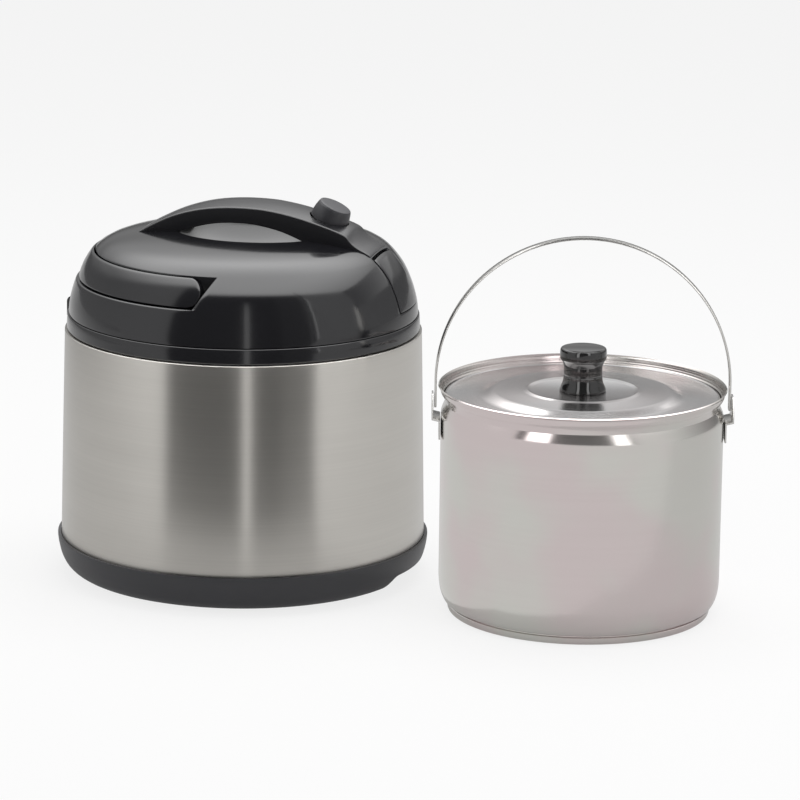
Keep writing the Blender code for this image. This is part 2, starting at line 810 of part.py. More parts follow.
def inner_cover():
    under = [(0, ceiling)]
    under += shared(ceiling_radius, plug_inner_radius, plug_shoulder, ceiling, ceiling_shares)
    under += [(plug_inner_radius, plug_bottom)]
    upper = inset(under, cover_wall)
    flange = [
        (plug_radius, plug_bottom),
        (plug_radius, flange_bottom),
        (flange_radius, flange_bottom),
        (flange_radius, flange_top),
        (plug_radius, flange_top),
    ]
    above = [point for point in upper if point[1] > flange_top]
    cover = piece("inner_cover", turned(under + flange + above[::-1]), lid, matte_black)
    far = lid_radius
    half = flange_notch_half_width
    front = block((plug_radius + seat_gap, far), (-half, half), (plug_bottom, ceiling))
    rear = block((-far, -plug_radius - seat_gap), (-half, half), (plug_bottom, ceiling))
    shank = screw_radius + seat_gap
    low = flange_bottom - overrun
    places = four_round(boss_circle_radius)
    holes = [rod((x, y, low), (x, y, flange_top + overrun), shank) for x, y in places]
    change(cover, tool("flange_front_notch", front, lid))
    change(cover, tool("flange_rear_notch", rear, lid))
    change(cover, tool("flange_holes", together(*holes), lid))
    head = (screw_head_radius, screw_head_thickness)
    low = flange_bottom - seat_gap - screw_head_thickness
    high = flange_bottom + screw_length - seat_gap
    for number, (x, y) in enumerate(places):
        screw = rod((x, y, low), (x, y, high), screw_radius, head=head)
        piece(f"inner_cover_screw_{number + 1}", screw, lid, zinc)


def lid_gasket():
    inner = plug_radius + seat_gap
    top = flange_bottom - seat_gap - screw_head_thickness - running_gap
    ring = shared(inner, gasket_radius, gasket_bottom, top, gasket_shares)
    piece("lid_gasket", turned(ring), lid, silicone)


def lid_insulation():
    low = ceiling + cover_wall + seat_gap
    piece("lid_insulation", rod((0, 0, low), (0, 0, foam_top), foam_radius, large_steps), lid, foam)


inner_cover()
lid_gasket()
lid_insulation()


# Carry handle: a U-shaped band round the rear of the lid, on two side pins

band_inner_gap = 0.0012
band_inner_radius = recess_radius + band_inner_gap
band_proud = 0.0012
band_shares = (0, 0.25, 0.5, 0.75, 1)
band_end_steps = 12
band_relief_gap = 0.0005
band_relief = recess_radius + band_relief_gap
band_relief_reach = 0.0120
carry_pin_bite = 0.0040
carry_head_radius = 0.0036
carry_head_thickness = 0.0016


def carry_handle():
    tall = band_top - band_bottom
    outer = []
    for share in band_shares:
        height = band_bottom + tall * share
        outer.append((radius_at(lid_path, height) + band_proud * share, height))
    ring = [(band_inner_radius, band_bottom)] + outer + [(band_inner_radius, band_top)]
    band = piece("carry_handle", turned(ring), carry, gloss_black)
    far = lid_radius + overrun
    low = band_bottom - overrun
    high = band_top + overrun
    side = [
        (-far, low),
        (carry_x, low),
        *arc((carry_x, carry_height), tall / 2, -90, 90, band_end_steps),
        (carry_x, high),
        (-far, high),
    ]
    change(band, tool("band_side", prism(side, -far, far), carry), "INTERSECT")
    relief = block((carry_x - band_relief_reach, far), (-band_relief, band_relief), (low, high))
    change(band, tool("band_relief", relief, carry))
    wall = recess_radius - lid_wall - running_gap
    inner = math.sqrt(wall ** 2 - (abs(carry_x) + carry_head_radius) ** 2) - carry_head_thickness
    outer = band_relief + carry_pin_bite
    bore = cross_rod(carry_x, carry_height, outer + seat_gap, carry_pin_radius + pin_fit)
    change(band, tool("band_bore", bore, carry))
    for name, way in (("carry_pin_left", 1), ("carry_pin_right", -1)):
        head = (carry_head_radius, carry_head_thickness)
        start = (carry_x, way * inner, carry_height)
        pin = rod(start, (carry_x, way * outer, carry_height), carry_pin_radius, head=head)
        piece(name, pin, lid, zinc)


carry_handle()


# Release button in the grip, with its stem and return spring

spring_inner_radius = 0.0055
spring_outer_radius = 0.0075
stem_length = 0.0090


def release_button():
    low = -knob_sink
    top = low + knob_height
    inner = knob_crown_radius - knob_wall
    under = top - knob_wall - knob_dome
    cap_outline = [(0, under), (inner, under), (inner, low), (knob_radius, low)]
    cap_outline += shared(0, knob_crown_radius, top - knob_dome, top, knob_dome_shares)
    piece("release_button", along_button(turned(cap_outline, knob_steps)), button, matte_black)
    stem = rod((0, 0, under - seat_gap), (0, 0, -stem_length), stem_radius)
    piece("button_stem", along_button(stem), button, nylon)
    floor = -knob_pocket_depth + seat_gap
    spring_top = under - button_travel - running_gap
    spring = [
        (spring_inner_radius, floor),
        (spring_outer_radius, floor),
        (spring_outer_radius, spring_top),
        (spring_inner_radius, spring_top),
    ]
    piece("button_spring", along_button(turned(spring, small_steps)), lid, zinc)


release_button()


# Latch hook on its pin, behind the latch cover

hook_side_gap = 0.0007
hook_half_width = ear_half_gap - hook_side_gap
hook_leg_offset = 0.0010
hook_leg_thickness = 0.0014
hook_rise = 0.0023
hook_nose_height = 0.0022
hook_eye_radius = 0.0021


def latch_hook():
    leg = latch_x + hook_leg_offset
    nose = keeper_inner - seat_gap
    low = collar_top + hook_rise
    side = [
        *arc((latch_x, latch_height), hook_eye_radius, 0, 180),
        (leg, low),
        (nose, low),
        (nose, low + hook_nose_height / 2),
        (leg + hook_leg_thickness, low + hook_nose_height),
    ]
    hook = piece("latch_hook", prism(side, -hook_half_width, hook_half_width), latch, zinc)
    bore = cross_rod(latch_x, latch_height, ear_half_gap, latch_pin_radius + pin_fit)
    change(hook, tool("hook_bore", bore, latch))
    pin = cross_rod(latch_x, latch_height, ear_half_gap + latch_ear_thickness, latch_pin_radius)
    piece("latch_pin", pin, lid, zinc)


latch_hook()


# Pot: drawn shell with a sunk seat under its rim, and its heavy base

pot_floor = 0.0065
pot_corner_run = 0.0055
pot_floor_radius = pot_radius - pot_corner_run
pot_corner_height = 0.0175
pot_neck_step = 0.0030
pot_neck_radius = pot_radius - pot_neck_step
pot_shoulder_drop = 0.0210
pot_shoulder_height = pot_height - pot_shoulder_drop
pot_corner_shares = ((0, 0), (0.42, 0.14), (0.82, 0.48), (1, 1))
pot_neck_shares = ((0, 0), (0.05, 0.3), (0.5, 0.68), (1, 1))
pot_rim_shares = ((0, 0), (0.25, 0.32), (0.62, 0.6), (0.76, 0.86), (1, 1))
pot_rim_drop = 0.0115
pot_neck_height = pot_height - pot_rim_drop
base_disc_inset = 0.0065
base_disc_radius = pot_radius - base_disc_inset
base_disc_edge = 0.0020


pot_rim_path = shared(pot_neck_radius, pot_rim_radius, pot_neck_height, pot_height, pot_rim_shares)


def pot_body():
    bend_top = pot_floor + pot_corner_height
    wall = [(0, pot_floor)]
    wall += shared(pot_floor_radius, pot_radius, pot_floor, bend_top, pot_corner_shares)
    wall += shared(pot_radius, pot_neck_radius, pot_shoulder_height, pot_neck_height, pot_neck_shares)
    wall += pot_rim_path[1:]
    piece("pot_shell", turned(wall_of(wall, pot_wall)), pot, polished)
    top = pot_floor - seat_gap
    disc = [(0, 0), (base_disc_radius - base_disc_edge, 0), (base_disc_radius, base_disc_edge)]
    disc += [(base_disc_radius, top), (0, top)]
    piece("pot_base", turned(disc), pot, polished)


pot_body()


# Ears welded under the rim, and the bail that swings in them

ear_tip_half_width = 0.0050
ear_foot_drop = 0.0245
ear_web_drop = 0.0120
ear_tip_rise = 0.0060
ear_foot_low = bail_pivot_height - ear_foot_drop
ear_web = bail_pivot_height - ear_web_drop
ear_tip = bail_pivot_height + ear_tip_rise
bail_pin_radius = 0.0020
bail_thickness = 0.0016
bail_half_width = 0.0037
bail_clearance = 0.0030
bail_inner_radius = pot_radius + bail_clearance
bail_shoulder = 0.0140
bail_end_below = 0.0040
bail_arc_steps = 30


def ear(name, way):
    tab = pot_radius + ear_standoff
    foot = pot_radius + seat_gap
    thick = ear_thickness
    side = [
        (way * foot, ear_foot_low),
        (way * (foot + thick), ear_foot_low),
        (way * (foot + thick), ear_web),
        (way * (tab + thick), ear_web + thick),
        (way * (tab + thick), ear_tip),
        (way * tab, ear_tip),
        (way * tab, ear_web + 2 * thick),
        (way * foot, ear_web + thick),
    ]
    lug = piece(name, prism(side, -ear_half_width, ear_half_width), pot, polished)
    wide = ear_half_width + overrun
    high = ear_tip + seat_gap
    front = [
        (-wide, ear_foot_low - overrun),
        (wide, ear_foot_low - overrun),
        (wide, ear_web),
        (ear_tip_half_width, high),
        (-ear_tip_half_width, high),
        (-wide, ear_web),
    ]
    near = way * (pot_radius - overrun)
    far = way * (tab + overrun)
    change(lug, tool(name + "_outline", prism(front, *sorted((near, far)), "X"), pot), "INTERSECT")
    bore = rod((near, 0, bail_pivot_height), (far, 0, bail_pivot_height), bail_pin_radius + pin_fit)
    change(lug, tool(name + "_bore", bore, pot))


def bail():
    centre = (0, bail_pivot_height + bail_shoulder)
    low = bail_pivot_height - bail_end_below
    outer_radius = bail_inner_radius + bail_thickness
    outline = [
        (outer_radius, low),
        *arc(centre, outer_radius, 0, 180, bail_arc_steps),
        (-outer_radius, low),
        (-bail_inner_radius, low),
        *arc(centre, bail_inner_radius, 180, 0, bail_arc_steps),
        (bail_inner_radius, low),
    ]
    strip = piece("bail", prism(outline, -bail_half_width, bail_half_width), bail_axis, polished)
    head = (bail_peen_radius, peen_thickness)
    middle = (bail_inner_radius + outer_radius) / 2
    for name, way in (("bail_end_left", -1), ("bail_end_right", 1)):
        start = (way * bail_end_reach, 0, bail_pivot_height)
        pin = rod(start, (way * middle, 0, bail_pivot_height), bail_pin_radius, head=head)
        change(strip, tool(name, pin, bail_axis), "UNION")


ear("ear_left", -1)
ear("ear_right", 1)
bail()


# Pot lid with its knob, washer and screw

pot_lid_wall = 0.0009
step_inset = 0.0260
step_run = 0.0110
step_outer_radius = pot_radius - step_inset
step_inner_radius = step_outer_radius - step_run
plateau_rise = 0.0034
bead_inset = 0.0220
bead_radius = step_inner_radius - bead_inset
bead_half_width = 0.0020
bead_rise = 0.0010
edge_lift = 0.0010
edge_run = 0.0014
pot_lid_radius = radius_at(inset(pot_rim_path, pot_wall), pot_lid_seat + edge_lift) - running_gap
knob_waist_radius = 0.0120
knob_top_radius = 0.0158
knob_rise = 0.0300
knob_shares = (
    (0.92, 0), (0.92, 0.09), (0, 0.14), (-0.06, 0.36), (0.02, 0.60), (0.42, 0.72), (0.95, 0.78),
    (1, 0.84), (0.96, 0.94), (0, 1),
)
washer_radius = 0.0080
washer_thickness = 0.0010
knob_screw_depth = 0.0100


def pot_lid():
    plateau = pot_lid_seat + plateau_rise
    under = [
        (0, plateau),
        (bead_radius - bead_half_width, plateau),
        (bead_radius, plateau + bead_rise),
        (bead_radius + bead_half_width, plateau),
        (step_inner_radius, plateau),
        (step_outer_radius, pot_lid_seat),
        (pot_lid_radius - edge_run, pot_lid_seat),
        (pot_lid_radius, pot_lid_seat + edge_lift),
    ]
    plate = piece("pot_lid", turned(wall_of(under, pot_lid_wall)), pot_lid_axis, polished)
    hole = rod((0, 0, pot_lid_seat), (0, 0, pot_height), screw_radius + seat_gap)
    change(plate, tool("pot_lid_hole", hole, pot_lid_axis))
    foot = plateau + pot_lid_wall + seat_gap
    crown = foot + knob_rise
    side = shared(knob_waist_radius, knob_top_radius, foot, crown, knob_shares)
    solid = turned([(0, foot)] + side + [(0, crown)], knob_steps)
    knob = piece("pot_lid_knob", solid, pot_lid_axis, gloss_black)
    bore = rod((0, 0, plateau), (0, 0, foot + knob_screw_depth), screw_radius + seat_gap)
    change(knob, tool("knob_bore", bore, pot_lid_axis))
    top = plateau - seat_gap
    low = top - washer_thickness
    inner = screw_radius + seat_gap
    ring = [(inner, low), (washer_radius, low), (washer_radius, top), (inner, top)]
    piece("knob_washer", turned(ring, small_steps), pot_lid_axis, zinc)
    head = (screw_head_radius, screw_head_thickness)
    start = low - seat_gap - screw_head_thickness
    end = foot + knob_screw_depth - seat_gap
    screw = rod((0, 0, start), (0, 0, end), screw_radius, head=head)
    piece("knob_screw", screw, pot_lid_axis, zinc)


pot_lid()
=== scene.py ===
"""A thermal cooker: its insulated container and the steel pot that goes inside, in a plain studio."""

import json
import math

import bmesh
import bpy
from mathutils import Matrix, Vector


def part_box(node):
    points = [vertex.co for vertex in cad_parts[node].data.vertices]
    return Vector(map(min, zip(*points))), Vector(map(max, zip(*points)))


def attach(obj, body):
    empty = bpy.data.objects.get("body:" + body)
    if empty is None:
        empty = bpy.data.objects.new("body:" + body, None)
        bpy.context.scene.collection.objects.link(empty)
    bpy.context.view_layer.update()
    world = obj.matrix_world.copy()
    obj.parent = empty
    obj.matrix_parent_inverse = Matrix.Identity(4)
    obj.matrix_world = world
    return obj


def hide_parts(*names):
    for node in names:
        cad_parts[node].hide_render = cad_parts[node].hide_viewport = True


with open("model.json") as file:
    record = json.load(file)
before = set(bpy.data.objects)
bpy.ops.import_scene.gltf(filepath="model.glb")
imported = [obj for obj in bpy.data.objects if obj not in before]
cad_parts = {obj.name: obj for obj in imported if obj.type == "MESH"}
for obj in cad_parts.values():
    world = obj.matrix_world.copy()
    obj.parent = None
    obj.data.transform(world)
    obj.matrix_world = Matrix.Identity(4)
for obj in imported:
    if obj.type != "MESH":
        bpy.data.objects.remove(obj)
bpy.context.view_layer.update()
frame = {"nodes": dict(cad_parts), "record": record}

# The studio: a pale floor, a white surround and a camera with a long lens, a little above the
# set. The two vessels are placed by the middles of the liner and of the pot's base.


def foot_of(node):
    """The point on the floor under a node's middle."""
    low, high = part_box(node)
    return (low + high) / 2 * Vector((1, 1, 0))


def in_scene(name, data):
    made = bpy.data.objects.new(name, data)
    bpy.context.scene.collection.objects.link(made)
    return made


container_place = foot_of("inner_liner")
pot_place = foot_of("pot_base")
set_middle = Vector((0, 0, 0.15))

camera_turn = math.radians(15.5)
camera_rise = math.radians(13.5)
camera_roll = math.radians(0.7)
camera_distance = 3.0
across = Vector((math.cos(camera_turn), math.sin(camera_turn), 0))
toward = Vector((math.sin(camera_turn), -math.cos(camera_turn), 0))
away = toward * math.cos(camera_rise) + Vector((0, 0, math.sin(camera_rise)))
view_target = across * 0.0028 + Vector((0, 0, 0.1310))
facing = away.to_track_quat("Z", "Y").to_matrix()
camera = in_scene("camera", bpy.data.cameras.new("camera"))
camera.location = view_target + away * camera_distance
camera.rotation_euler = (facing @ Matrix.Rotation(camera_roll, 3, "Z")).to_euler()
camera.data.sensor_width = 36
camera.data.lens = 192.5
camera.data.clip_end = 50
bpy.context.scene.camera = camera
bpy.context.scene.view_settings.view_transform = "Standard"


class Value:
    """An output socket, with Python's operators adding the Math nodes."""

    def __init__(self, tree, socket):
        self.tree = tree
        self.socket = socket

    def math(self, operation, *others):
        node = self.tree.nodes.new("ShaderNodeMath")
        node.operation = operation
        for slot, given in zip(node.inputs, (self, *others)):
            if isinstance(given, Value):
                self.tree.links.new(given.socket, slot)
            else:
                slot.default_value = given
        return Value(self.tree, node.outputs[0])

    def flipped(self, operation, other):
        first = Value(self.tree, self.tree.nodes.new("ShaderNodeValue").outputs[0])
        first.socket.default_value = other
        return first.math(operation, self)

    def __add__(self, other):
        return self.math("ADD", other)

    def __sub__(self, other):
        return self.math("SUBTRACT", other)

    def __mul__(self, other):
        return self.math("MULTIPLY", other)

    def __truediv__(self, other):
        return self.math("DIVIDE", other)

    def __rsub__(self, other):
        return self.flipped("SUBTRACT", other)

    __radd__ = __add__
    __rmul__ = __mul__

    def step(self, low, high):
        """0 below low, 1 above high and smooth between."""
        node = self.tree.nodes.new("ShaderNodeMapRange")
        node.interpolation_type = "SMOOTHSTEP"
        self.tree.links.new(self.socket, node.inputs["Value"])
        node.inputs["From Min"].default_value = low
        node.inputs["From Max"].default_value = high
        return Value(self.tree, node.outputs[0])


class Shading:
    """The nodes of one material or of the surround."""

    def __init__(self, tree):
        self.tree = tree

    def add(self, kind, settings=None, **sockets):
        """A node of a kind, with its settings first and then the values or links of its sockets."""
        node = self.tree.nodes.new("ShaderNode" + kind)
        for name, given in (settings or {}).items():
            setattr(node, name, given)
        for name, given in sockets.items():
            slot = node.inputs[name.replace("_", " ")]
            if isinstance(given, Value):
                self.tree.links.new(given.socket, slot)
            elif isinstance(given, bpy.types.NodeSocket):
                self.tree.links.new(given, slot)
            else:
                slot.default_value = given
        return node

    def value(self, node, output=0):
        return Value(self.tree, node.outputs[output])

    def axes(self, vector):
        """The x, y and z of a vector."""
        split = self.add("SeparateXYZ", Vector=vector)
        return [self.value(split, axis) for axis in range(3)]

    def along(self, way):
        """How far a point lies from the origin in a direction."""
        place = self.add("TexCoord")
        shift = self.add("VectorMath", {"operation": "DOT_PRODUCT"}, Vector=place.outputs["Object"])
        shift.inputs[1].default_value = way
        return self.value(shift, "Value")

    def noise(self, vector, scale, detail, **more):
        """Soft noise between 0 and 1."""
        return self.value(self.add("TexNoise", Vector=vector, Scale=scale, Detail=detail, **more), "Fac")

    def blend(self, first, second, share):
        """A colour that goes from one to another by a share."""
        node = self.add("Mix", {"data_type": "RGBA"}, Factor=share)
        slots = [slot for slot in node.inputs if slot.type == "RGBA"]
        slots[0].default_value = (*first, 1)
        slots[1].default_value = (*second, 1)
        return [slot for slot in node.outputs if slot.type == "RGBA"][0]

    def glow(self, strength):
        """Plain white light of a strength."""
        return self.add("Emission", Color=(1, 1, 1, 1), Strength=strength).outputs[0]

    def mixed(self, first, second, share):
        """One shader mixed with another by a share."""
        node = self.add("MixShader", Fac=share)
        self.tree.links.new(first, node.inputs[1])
        self.tree.links.new(second, node.inputs[2])
        return node.outputs[0]


def material(name):
    made = bpy.data.materials.new(name)
    made.use_nodes = True
    made.node_tree.nodes.clear()
    return made, Shading(made.node_tree)


def surround():
    """White behind the set. Shiny surfaces see a broad light overhead, pale sides and a dim front.

    Bearings are in radians from straight ahead, and z is the sine of the rise.
    """
    world = bpy.data.worlds.new("surround")
    world.use_nodes = True
    bpy.context.scene.world = world
    world.node_tree.nodes.clear()
    s = Shading(world.node_tree)
    x, y, z = s.axes(s.add("TexCoord").outputs["Generated"])
    side = x * across.x + y * across.y
    front = x * toward.x + y * toward.y
    bearing = side.math("ARCTAN2", front)
    turned_away = bearing.math("ABSOLUTE")
    side_light = 0.84 - turned_away.step(0.9, 2.9) * 0.72
    front_share = 1 - turned_away.step(0.80, 0.87)
    front_light = 0.085 + bearing.step(0.42, 0.52) * 0.06
    strip_share = (1 - (bearing - 0.075).math("ABSOLUTE").step(0.016, 0.045)) * (1 - z.step(0.5, 0.7))
    around_light = side_light * (1 - front_share) + front_share * front_light + strip_share * 1.6
    top_share = (z * 0.906 - front * 0.42).step(0.42, 0.54)
    top_share = top_share * (z.step(0.22, 0.40) * 0.65 + 0.35)
    top_light = z.step(0.36, 0.92) * 3.3 + 0.78
    seen = around_light * (1 - top_share) + top_share * top_light
    soft_light = 0.55
    rays = s.add("LightPath")
    glossy = s.value(rays, "Is Glossy Ray")
    straight = s.value(rays, "Is Camera Ray")
    level = glossy * seen + (1 - glossy) * soft_light
    level = straight + (1 - straight) * level
    background = s.add("Background", Color=(1, 1, 1, 1), Strength=level)
    s.add("OutputWorld", Surface=background.outputs[0])


def staged(name, corners, look):
    """A flat part of the studio. Its corners are given across the camera's view, towards it, and up."""
    mesh = bpy.data.meshes.new(name)
    points = [across * a + toward * t + Vector((0, 0, u)) for a, t, u in corners]
    mesh.from_pydata(points, [], [range(len(corners))])
    mesh.materials.append(look)
    made = in_scene(name, mesh)
    return made


def card(name, corners, look):
    """A flat part of the studio that is seen in steel alone."""
    made = staged(name, corners, look)
    made.visible_camera = made.visible_diffuse = False
    made.visible_shadow = made.visible_transmission = False


def pale_floor():
    """A pale floor that keeps the shadows, and reads as near white to the camera."""
    look, s = material("pale_floor")
    rays = s.add("LightPath")
    glossy = s.value(rays, "Is Glossy Ray")
    straight = s.value(rays, "Is Camera Ray")
    matt = s.add("BsdfDiffuse", Color=(0.86, 0.86, 0.86, 1))
    white = s.glow(straight * 0.45 + 0.55)
    s.add("OutputMaterial", Surface=s.mixed(matt.outputs[0], white, straight * 0.80 + glossy * 0.55))
    edge = 0.27
    staged("floor", [(-6, edge, 0), (6, edge, 0), (6, -8, 0), (-6, -8, 0)], look)
    near = staged("near_floor", [(-6, 6, 0), (6, 6, 0), (6, edge, 0), (-6, edge, 0)], look)
    near.visible_glossy = False


def reflector_cards():
    """Pale cards round the pot's front, and clear from behind, where the container is."""
    look, s = material("reflector_card")
    side, front = [s.along(way) - pot_place.dot(way) for way in (across, toward)]
    bearing = side.math("ARCTAN2", front).math("ABSOLUTE")
    reach = (side * side + front * front).math("SQRT")
    rise = (s.along(Vector((0, 0, 1))) - 0.140) / reach
    upper = rise.step(0.10, 0.16)
    window = bearing.step(0.34, 0.37) * (1 - bearing.step(0.56, 0.59))
    dark = 1 - bearing.step(0.66, 0.70)
    pattern = (1 - dark) * 0.8 + dark * 0.16 + window * 2.6
    lit = s.glow(0.80 * (1 - upper) + pattern * upper)
    clear = s.add("BsdfTransparent")
    faces = s.add("NewGeometry")
    s.add("OutputMaterial", Surface=s.mixed(lit, clear.outputs[0], faces.outputs["Backfacing"]))
    names = ("reflector_near", "reflector_middle", "reflector_far")
    bends = [(0.0222, 0.150), (0.110, 0.230), (0.400, 0.420), (2.400, 1.150)]
    top, foot = 0.55, -0.8
    for name, near, far in zip(names, bends, bends[1:]):
        card(name, [(*near, top), (*far, top), (*far, foot), (*near, foot)], look)


def divider_card():
    """A pale card between the container and the pot, so that neither shows in the other."""
    look, s = material("divider_card")
    s.add("OutputMaterial", Surface=s.glow(s.along(toward).step(-0.25, 0.15) * 0.30 + 0.50))
    top, foot, up, rear, front = 0.0210, 0.0243, 0.175, -0.30, 0.150
    card("divider", [(top, rear, up), (top, front, up), (foot, front, 0), (foot, rear, 0)], look)


def canopy_card():
    """A dimmer card over the pot, so that the broad light doesn't bleach the pot's lid."""
    look, s = material("canopy_card")
    side, near = pot_place.dot(across), pot_place.dot(toward)
    s.add("OutputMaterial", Surface=s.glow(0.85 - (s.along(toward) - near).step(-0.20, 0.05) * 0.45))
    left, right, rear, front, up = side - 0.052, side + 0.14, near - 0.28, near + 0.005, 0.30
    card("canopy", [(left, front, up), (right, front, up), (right, rear, up), (left, rear, up)], look)


def softbox(name, place, size, power):
    """A soft light aimed at the set, which shiny surfaces don't mirror."""
    light = in_scene(name, bpy.data.lights.new(name, "AREA"))
    light.data.shape = "RECTANGLE"
    light.data.size, light.data.size_y = size
    light.data.energy = power
    light.location = place
    light.rotation_euler = (Vector(place) - set_middle).to_track_quat("Z", "Y").to_euler()
    light.visible_glossy = False


surround()
pale_floor()
reflector_cards()
divider_card()
canopy_card()
softbox("overhead_light", (0.1, 0.3, 1.7), (1.6, 1.2), 16)
softbox("left_light", (-1.6, -0.9, 0.7), (0.7, 1.2), 5)
softbox("right_light", (1.5, -0.7, 0.7), (0.6, 1.2), 4)


# The container's steel outer shell: one drawn stainless can, brushed round the body, with its
# top edge turned in under the collar.

def curve(a, b, c, d, t):
    """A value on the smooth curve through four, a share t of the way from the second to the third."""
    bend = (2 * a - 5 * b + 4 * c - d) * t * t
    twist = (3 * b - a - 3 * c + d) * t ** 3
    return 0.5 * (2 * b + (c - a) * t + bend + twist)


def smooth_path(path, count):
    """A path drawn finer, through the same points, with rounded bends between them."""
    drawn = []
    for index in range(len(path) - 1):
        before = path[max(index - 1, 0)]
        start, end = path[index], path[index + 1]
        after = path[min(index + 2, len(path) - 1)]
        for step in range(count):
            drawn.append(tuple(curve(*four, step / count) for four in zip(before, start, end, after)))
    drawn.append(tuple(path[-1]))
    return drawn


def shares_of(inner, outer, low, high, shares):
    """A path given as shares of a width and a height."""
    return [(inner + (outer - inner) * a, low + (high - low) * b) for a, b in shares]


def inset(path, distance):
    """A path moved sideways, to its left for a positive distance. A point on the axis stays on it."""
    moved = []
    for index, (x, y) in enumerate(path):
        before, after = path[max(index - 1, 0)], path[min(index + 1, len(path) - 1)]
        way = (after[0] - before[0], after[1] - before[1])
        run = math.hypot(*way) or 1
        moved.append((0.0 if x == 0 else x - way[1] / run * distance, y + way[0] / run * distance))
    return moved


def wall_of(path, wall):
    """The closed outline of a sheet of even thickness whose outside follows a path."""
    return path + list(reversed(inset(path, wall)))


def turned(outline, count=192):
    """A closed outline turned about Z. Points on the axis become poles."""
    bm = bmesh.new()
    rings = []
    for radius, height in outline:
        if radius == 0:
            rings.append([bm.verts.new((0, 0, height))])
            continue
        turns = [2 * math.pi * step / count for step in range(count)]
        rings.append([bm.verts.new((radius * math.cos(t), radius * math.sin(t), height)) for t in turns])
    for ring, after in zip(rings, rings[1:] + rings[:1]):
        for step in range(count):
            corners = []
            for side, turn in ((ring, step), (ring, step + 1), (after, step + 1), (after, step)):
                corner = side[turn % len(side)]
                if corner not in corners:
                    corners.append(corner)
            if len(corners) > 2:
                bm.faces.new(corners)
    return bm


def rounded(made, width, angle):
    """Rounds the edges that turn by more than an angle in degrees."""
    edges = made.modifiers.new("rounded edges", "BEVEL")
    edges.width = width
    edges.segments = 2
    edges.limit_method = "ANGLE"
    edges.angle_limit = math.radians(angle)
    return edges


def plain(made):
    """Works the object's modifiers into its mesh."""
    graph = bpy.context.evaluated_depsgraph_get()
    mesh = bpy.data.meshes.new_from_object(made.evaluated_get(graph))
    old = made.data
    made.modifiers.clear()
    made.data = mesh
    bpy.data.meshes.remove(old)
    mesh.name = made.name


def dress(made, look, body, nodes=()):
    """Gives a piece its material, its smooth shading, the nodes it replaces and the body it rides on."""
    sharp = math.radians(32)
    made.data.materials.clear()
    made.data.materials.append(look)
    made.data.shade_smooth()
    made.data.set_sharp_from_angle(angle=sharp)
    if made.modifiers:
        plain(made)
        made.data.set_sharp_from_angle(angle=sharp)
    if nodes:
        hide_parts(*nodes)
    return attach(made, body)


def finished(bm, name, look, body, nodes=(), place=Vector((0, 0, 0)), turn=0.0, bevel=0.0, angle=30):
    """A piece from its mesh, put in place, with rounded edges, its material and the body that carries it."""
    bmesh.ops.recalc_face_normals(bm, faces=bm.faces)
    mesh = bpy.data.meshes.new(name)
    bm.to_mesh(mesh)
    bm.free()
    mesh.transform(Matrix.Translation(place) @ Matrix.Rotation(turn, 4, "Z"))
    made = in_scene(name, mesh)
    if bevel:
        rounded(made, bevel, angle).miter_outer = "MITER_ARC"
    return dress(made, look, body, nodes)


def metal(name, colour, rough, other=None, lines=900, bump=0.02, middle=container_place, tint=0.05,
          anisotropy=0.0):
    """Stainless steel with fine lines round the piece's own axis, and soft patches of another tone."""
    made, s = material(name)
    place = s.add("TexCoord")
    moved = s.add("Mapping", {"vector_type": "POINT"}, Vector=place.outputs["Object"],
                  Location=(-middle.x, -middle.y, 0))
    x, y, z = s.axes(moved.outputs[0])
    radius = (x * x + y * y).math("SQRT") + 0.0001
    rings = (radius + z) * lines
    thin = s.add("CombineXYZ", X=x / radius * 0.45, Y=y / radius * 0.45, Z=rings)
    wide = s.add("CombineXYZ", X=x / radius * 1.4, Y=y / radius * 1.4, Z=rings * 0.08)
    fine = s.noise(thin.outputs[0], 1.0, 3.0, Roughness=0.6)
    broad = s.noise(wide.outputs[0], 1.0, 2.0)
    patch = s.noise(moved.outputs[0], 13.0, 2.0).step(0.36, 0.64)
    blended = s.blend(colour, other or [c * 0.98 for c in colour], patch)
    lined = (fine * 0.6 + broad * 0.4) * (2 * tint) + (1 - tint)
    tone = s.add("VectorMath", {"operation": "SCALE"}, Vector=blended, Scale=lined)
    bumped = s.add("Bump", Strength=bump, Distance=0.0002, Height=fine)
    rough_change = 0.05
    skin = s.add("BsdfPrincipled", Base_Color=tone.outputs[0], Metallic=1.0, Normal=bumped.outputs[0],
                 Roughness=fine * rough_change + (rough - rough_change / 2))
    skin.inputs["Anisotropic"].default_value = anisotropy
    skin.inputs["Anisotropic Rotation"].default_value = 0.25 if anisotropy else 0.0
    s.add("OutputMaterial", Surface=skin.outputs[0])
    return made


brushed_steel = metal("brushed_stainless", (0.585, 0.565, 0.53), 0.30, tint=0.09, anisotropy=0.85)
foot_bend = ((0, 0), (0.3, 0.05), (0.55, 0.16), (0.78, 0.36), (0.93, 0.65), (1, 1))
shell_path = [
    (0, 0.0160), *shares_of(0.1140, 0.1290, 0.0160, 0.0285, foot_bend), (0.1280, 0.0785), (0.1269, 0.1285),
    (0.12582, 0.1750), (0.12572, 0.17535), (0.1254, 0.1756), (0.1250, 0.1757), (0.1196, 0.1757),
    (0.1196, 0.1840)]
finished(turned(wall_of(shell_path, 0.0010), 256), "container_shell", brushed_steel, "container",
         ["outer_shell"], container_place)


# The liner: a drawn and polished stainless cup that holds the pot. It hangs inside the shell,
# joined to it at the mouth alone.

liner_steel = metal("liner_stainless", (0.66, 0.64, 0.62), 0.20, lines=600)
liner_path = [(0, 0.0240), *shares_of(0.1050, 0.1183, 0.0240, 0.0360, foot_bend), (0.1183, 0.1840)]
finished(turned(wall_of(liner_path, 0.0008)), "container_liner", liner_steel, "container",
         ["inner_liner"], container_place, bevel=0.0002)


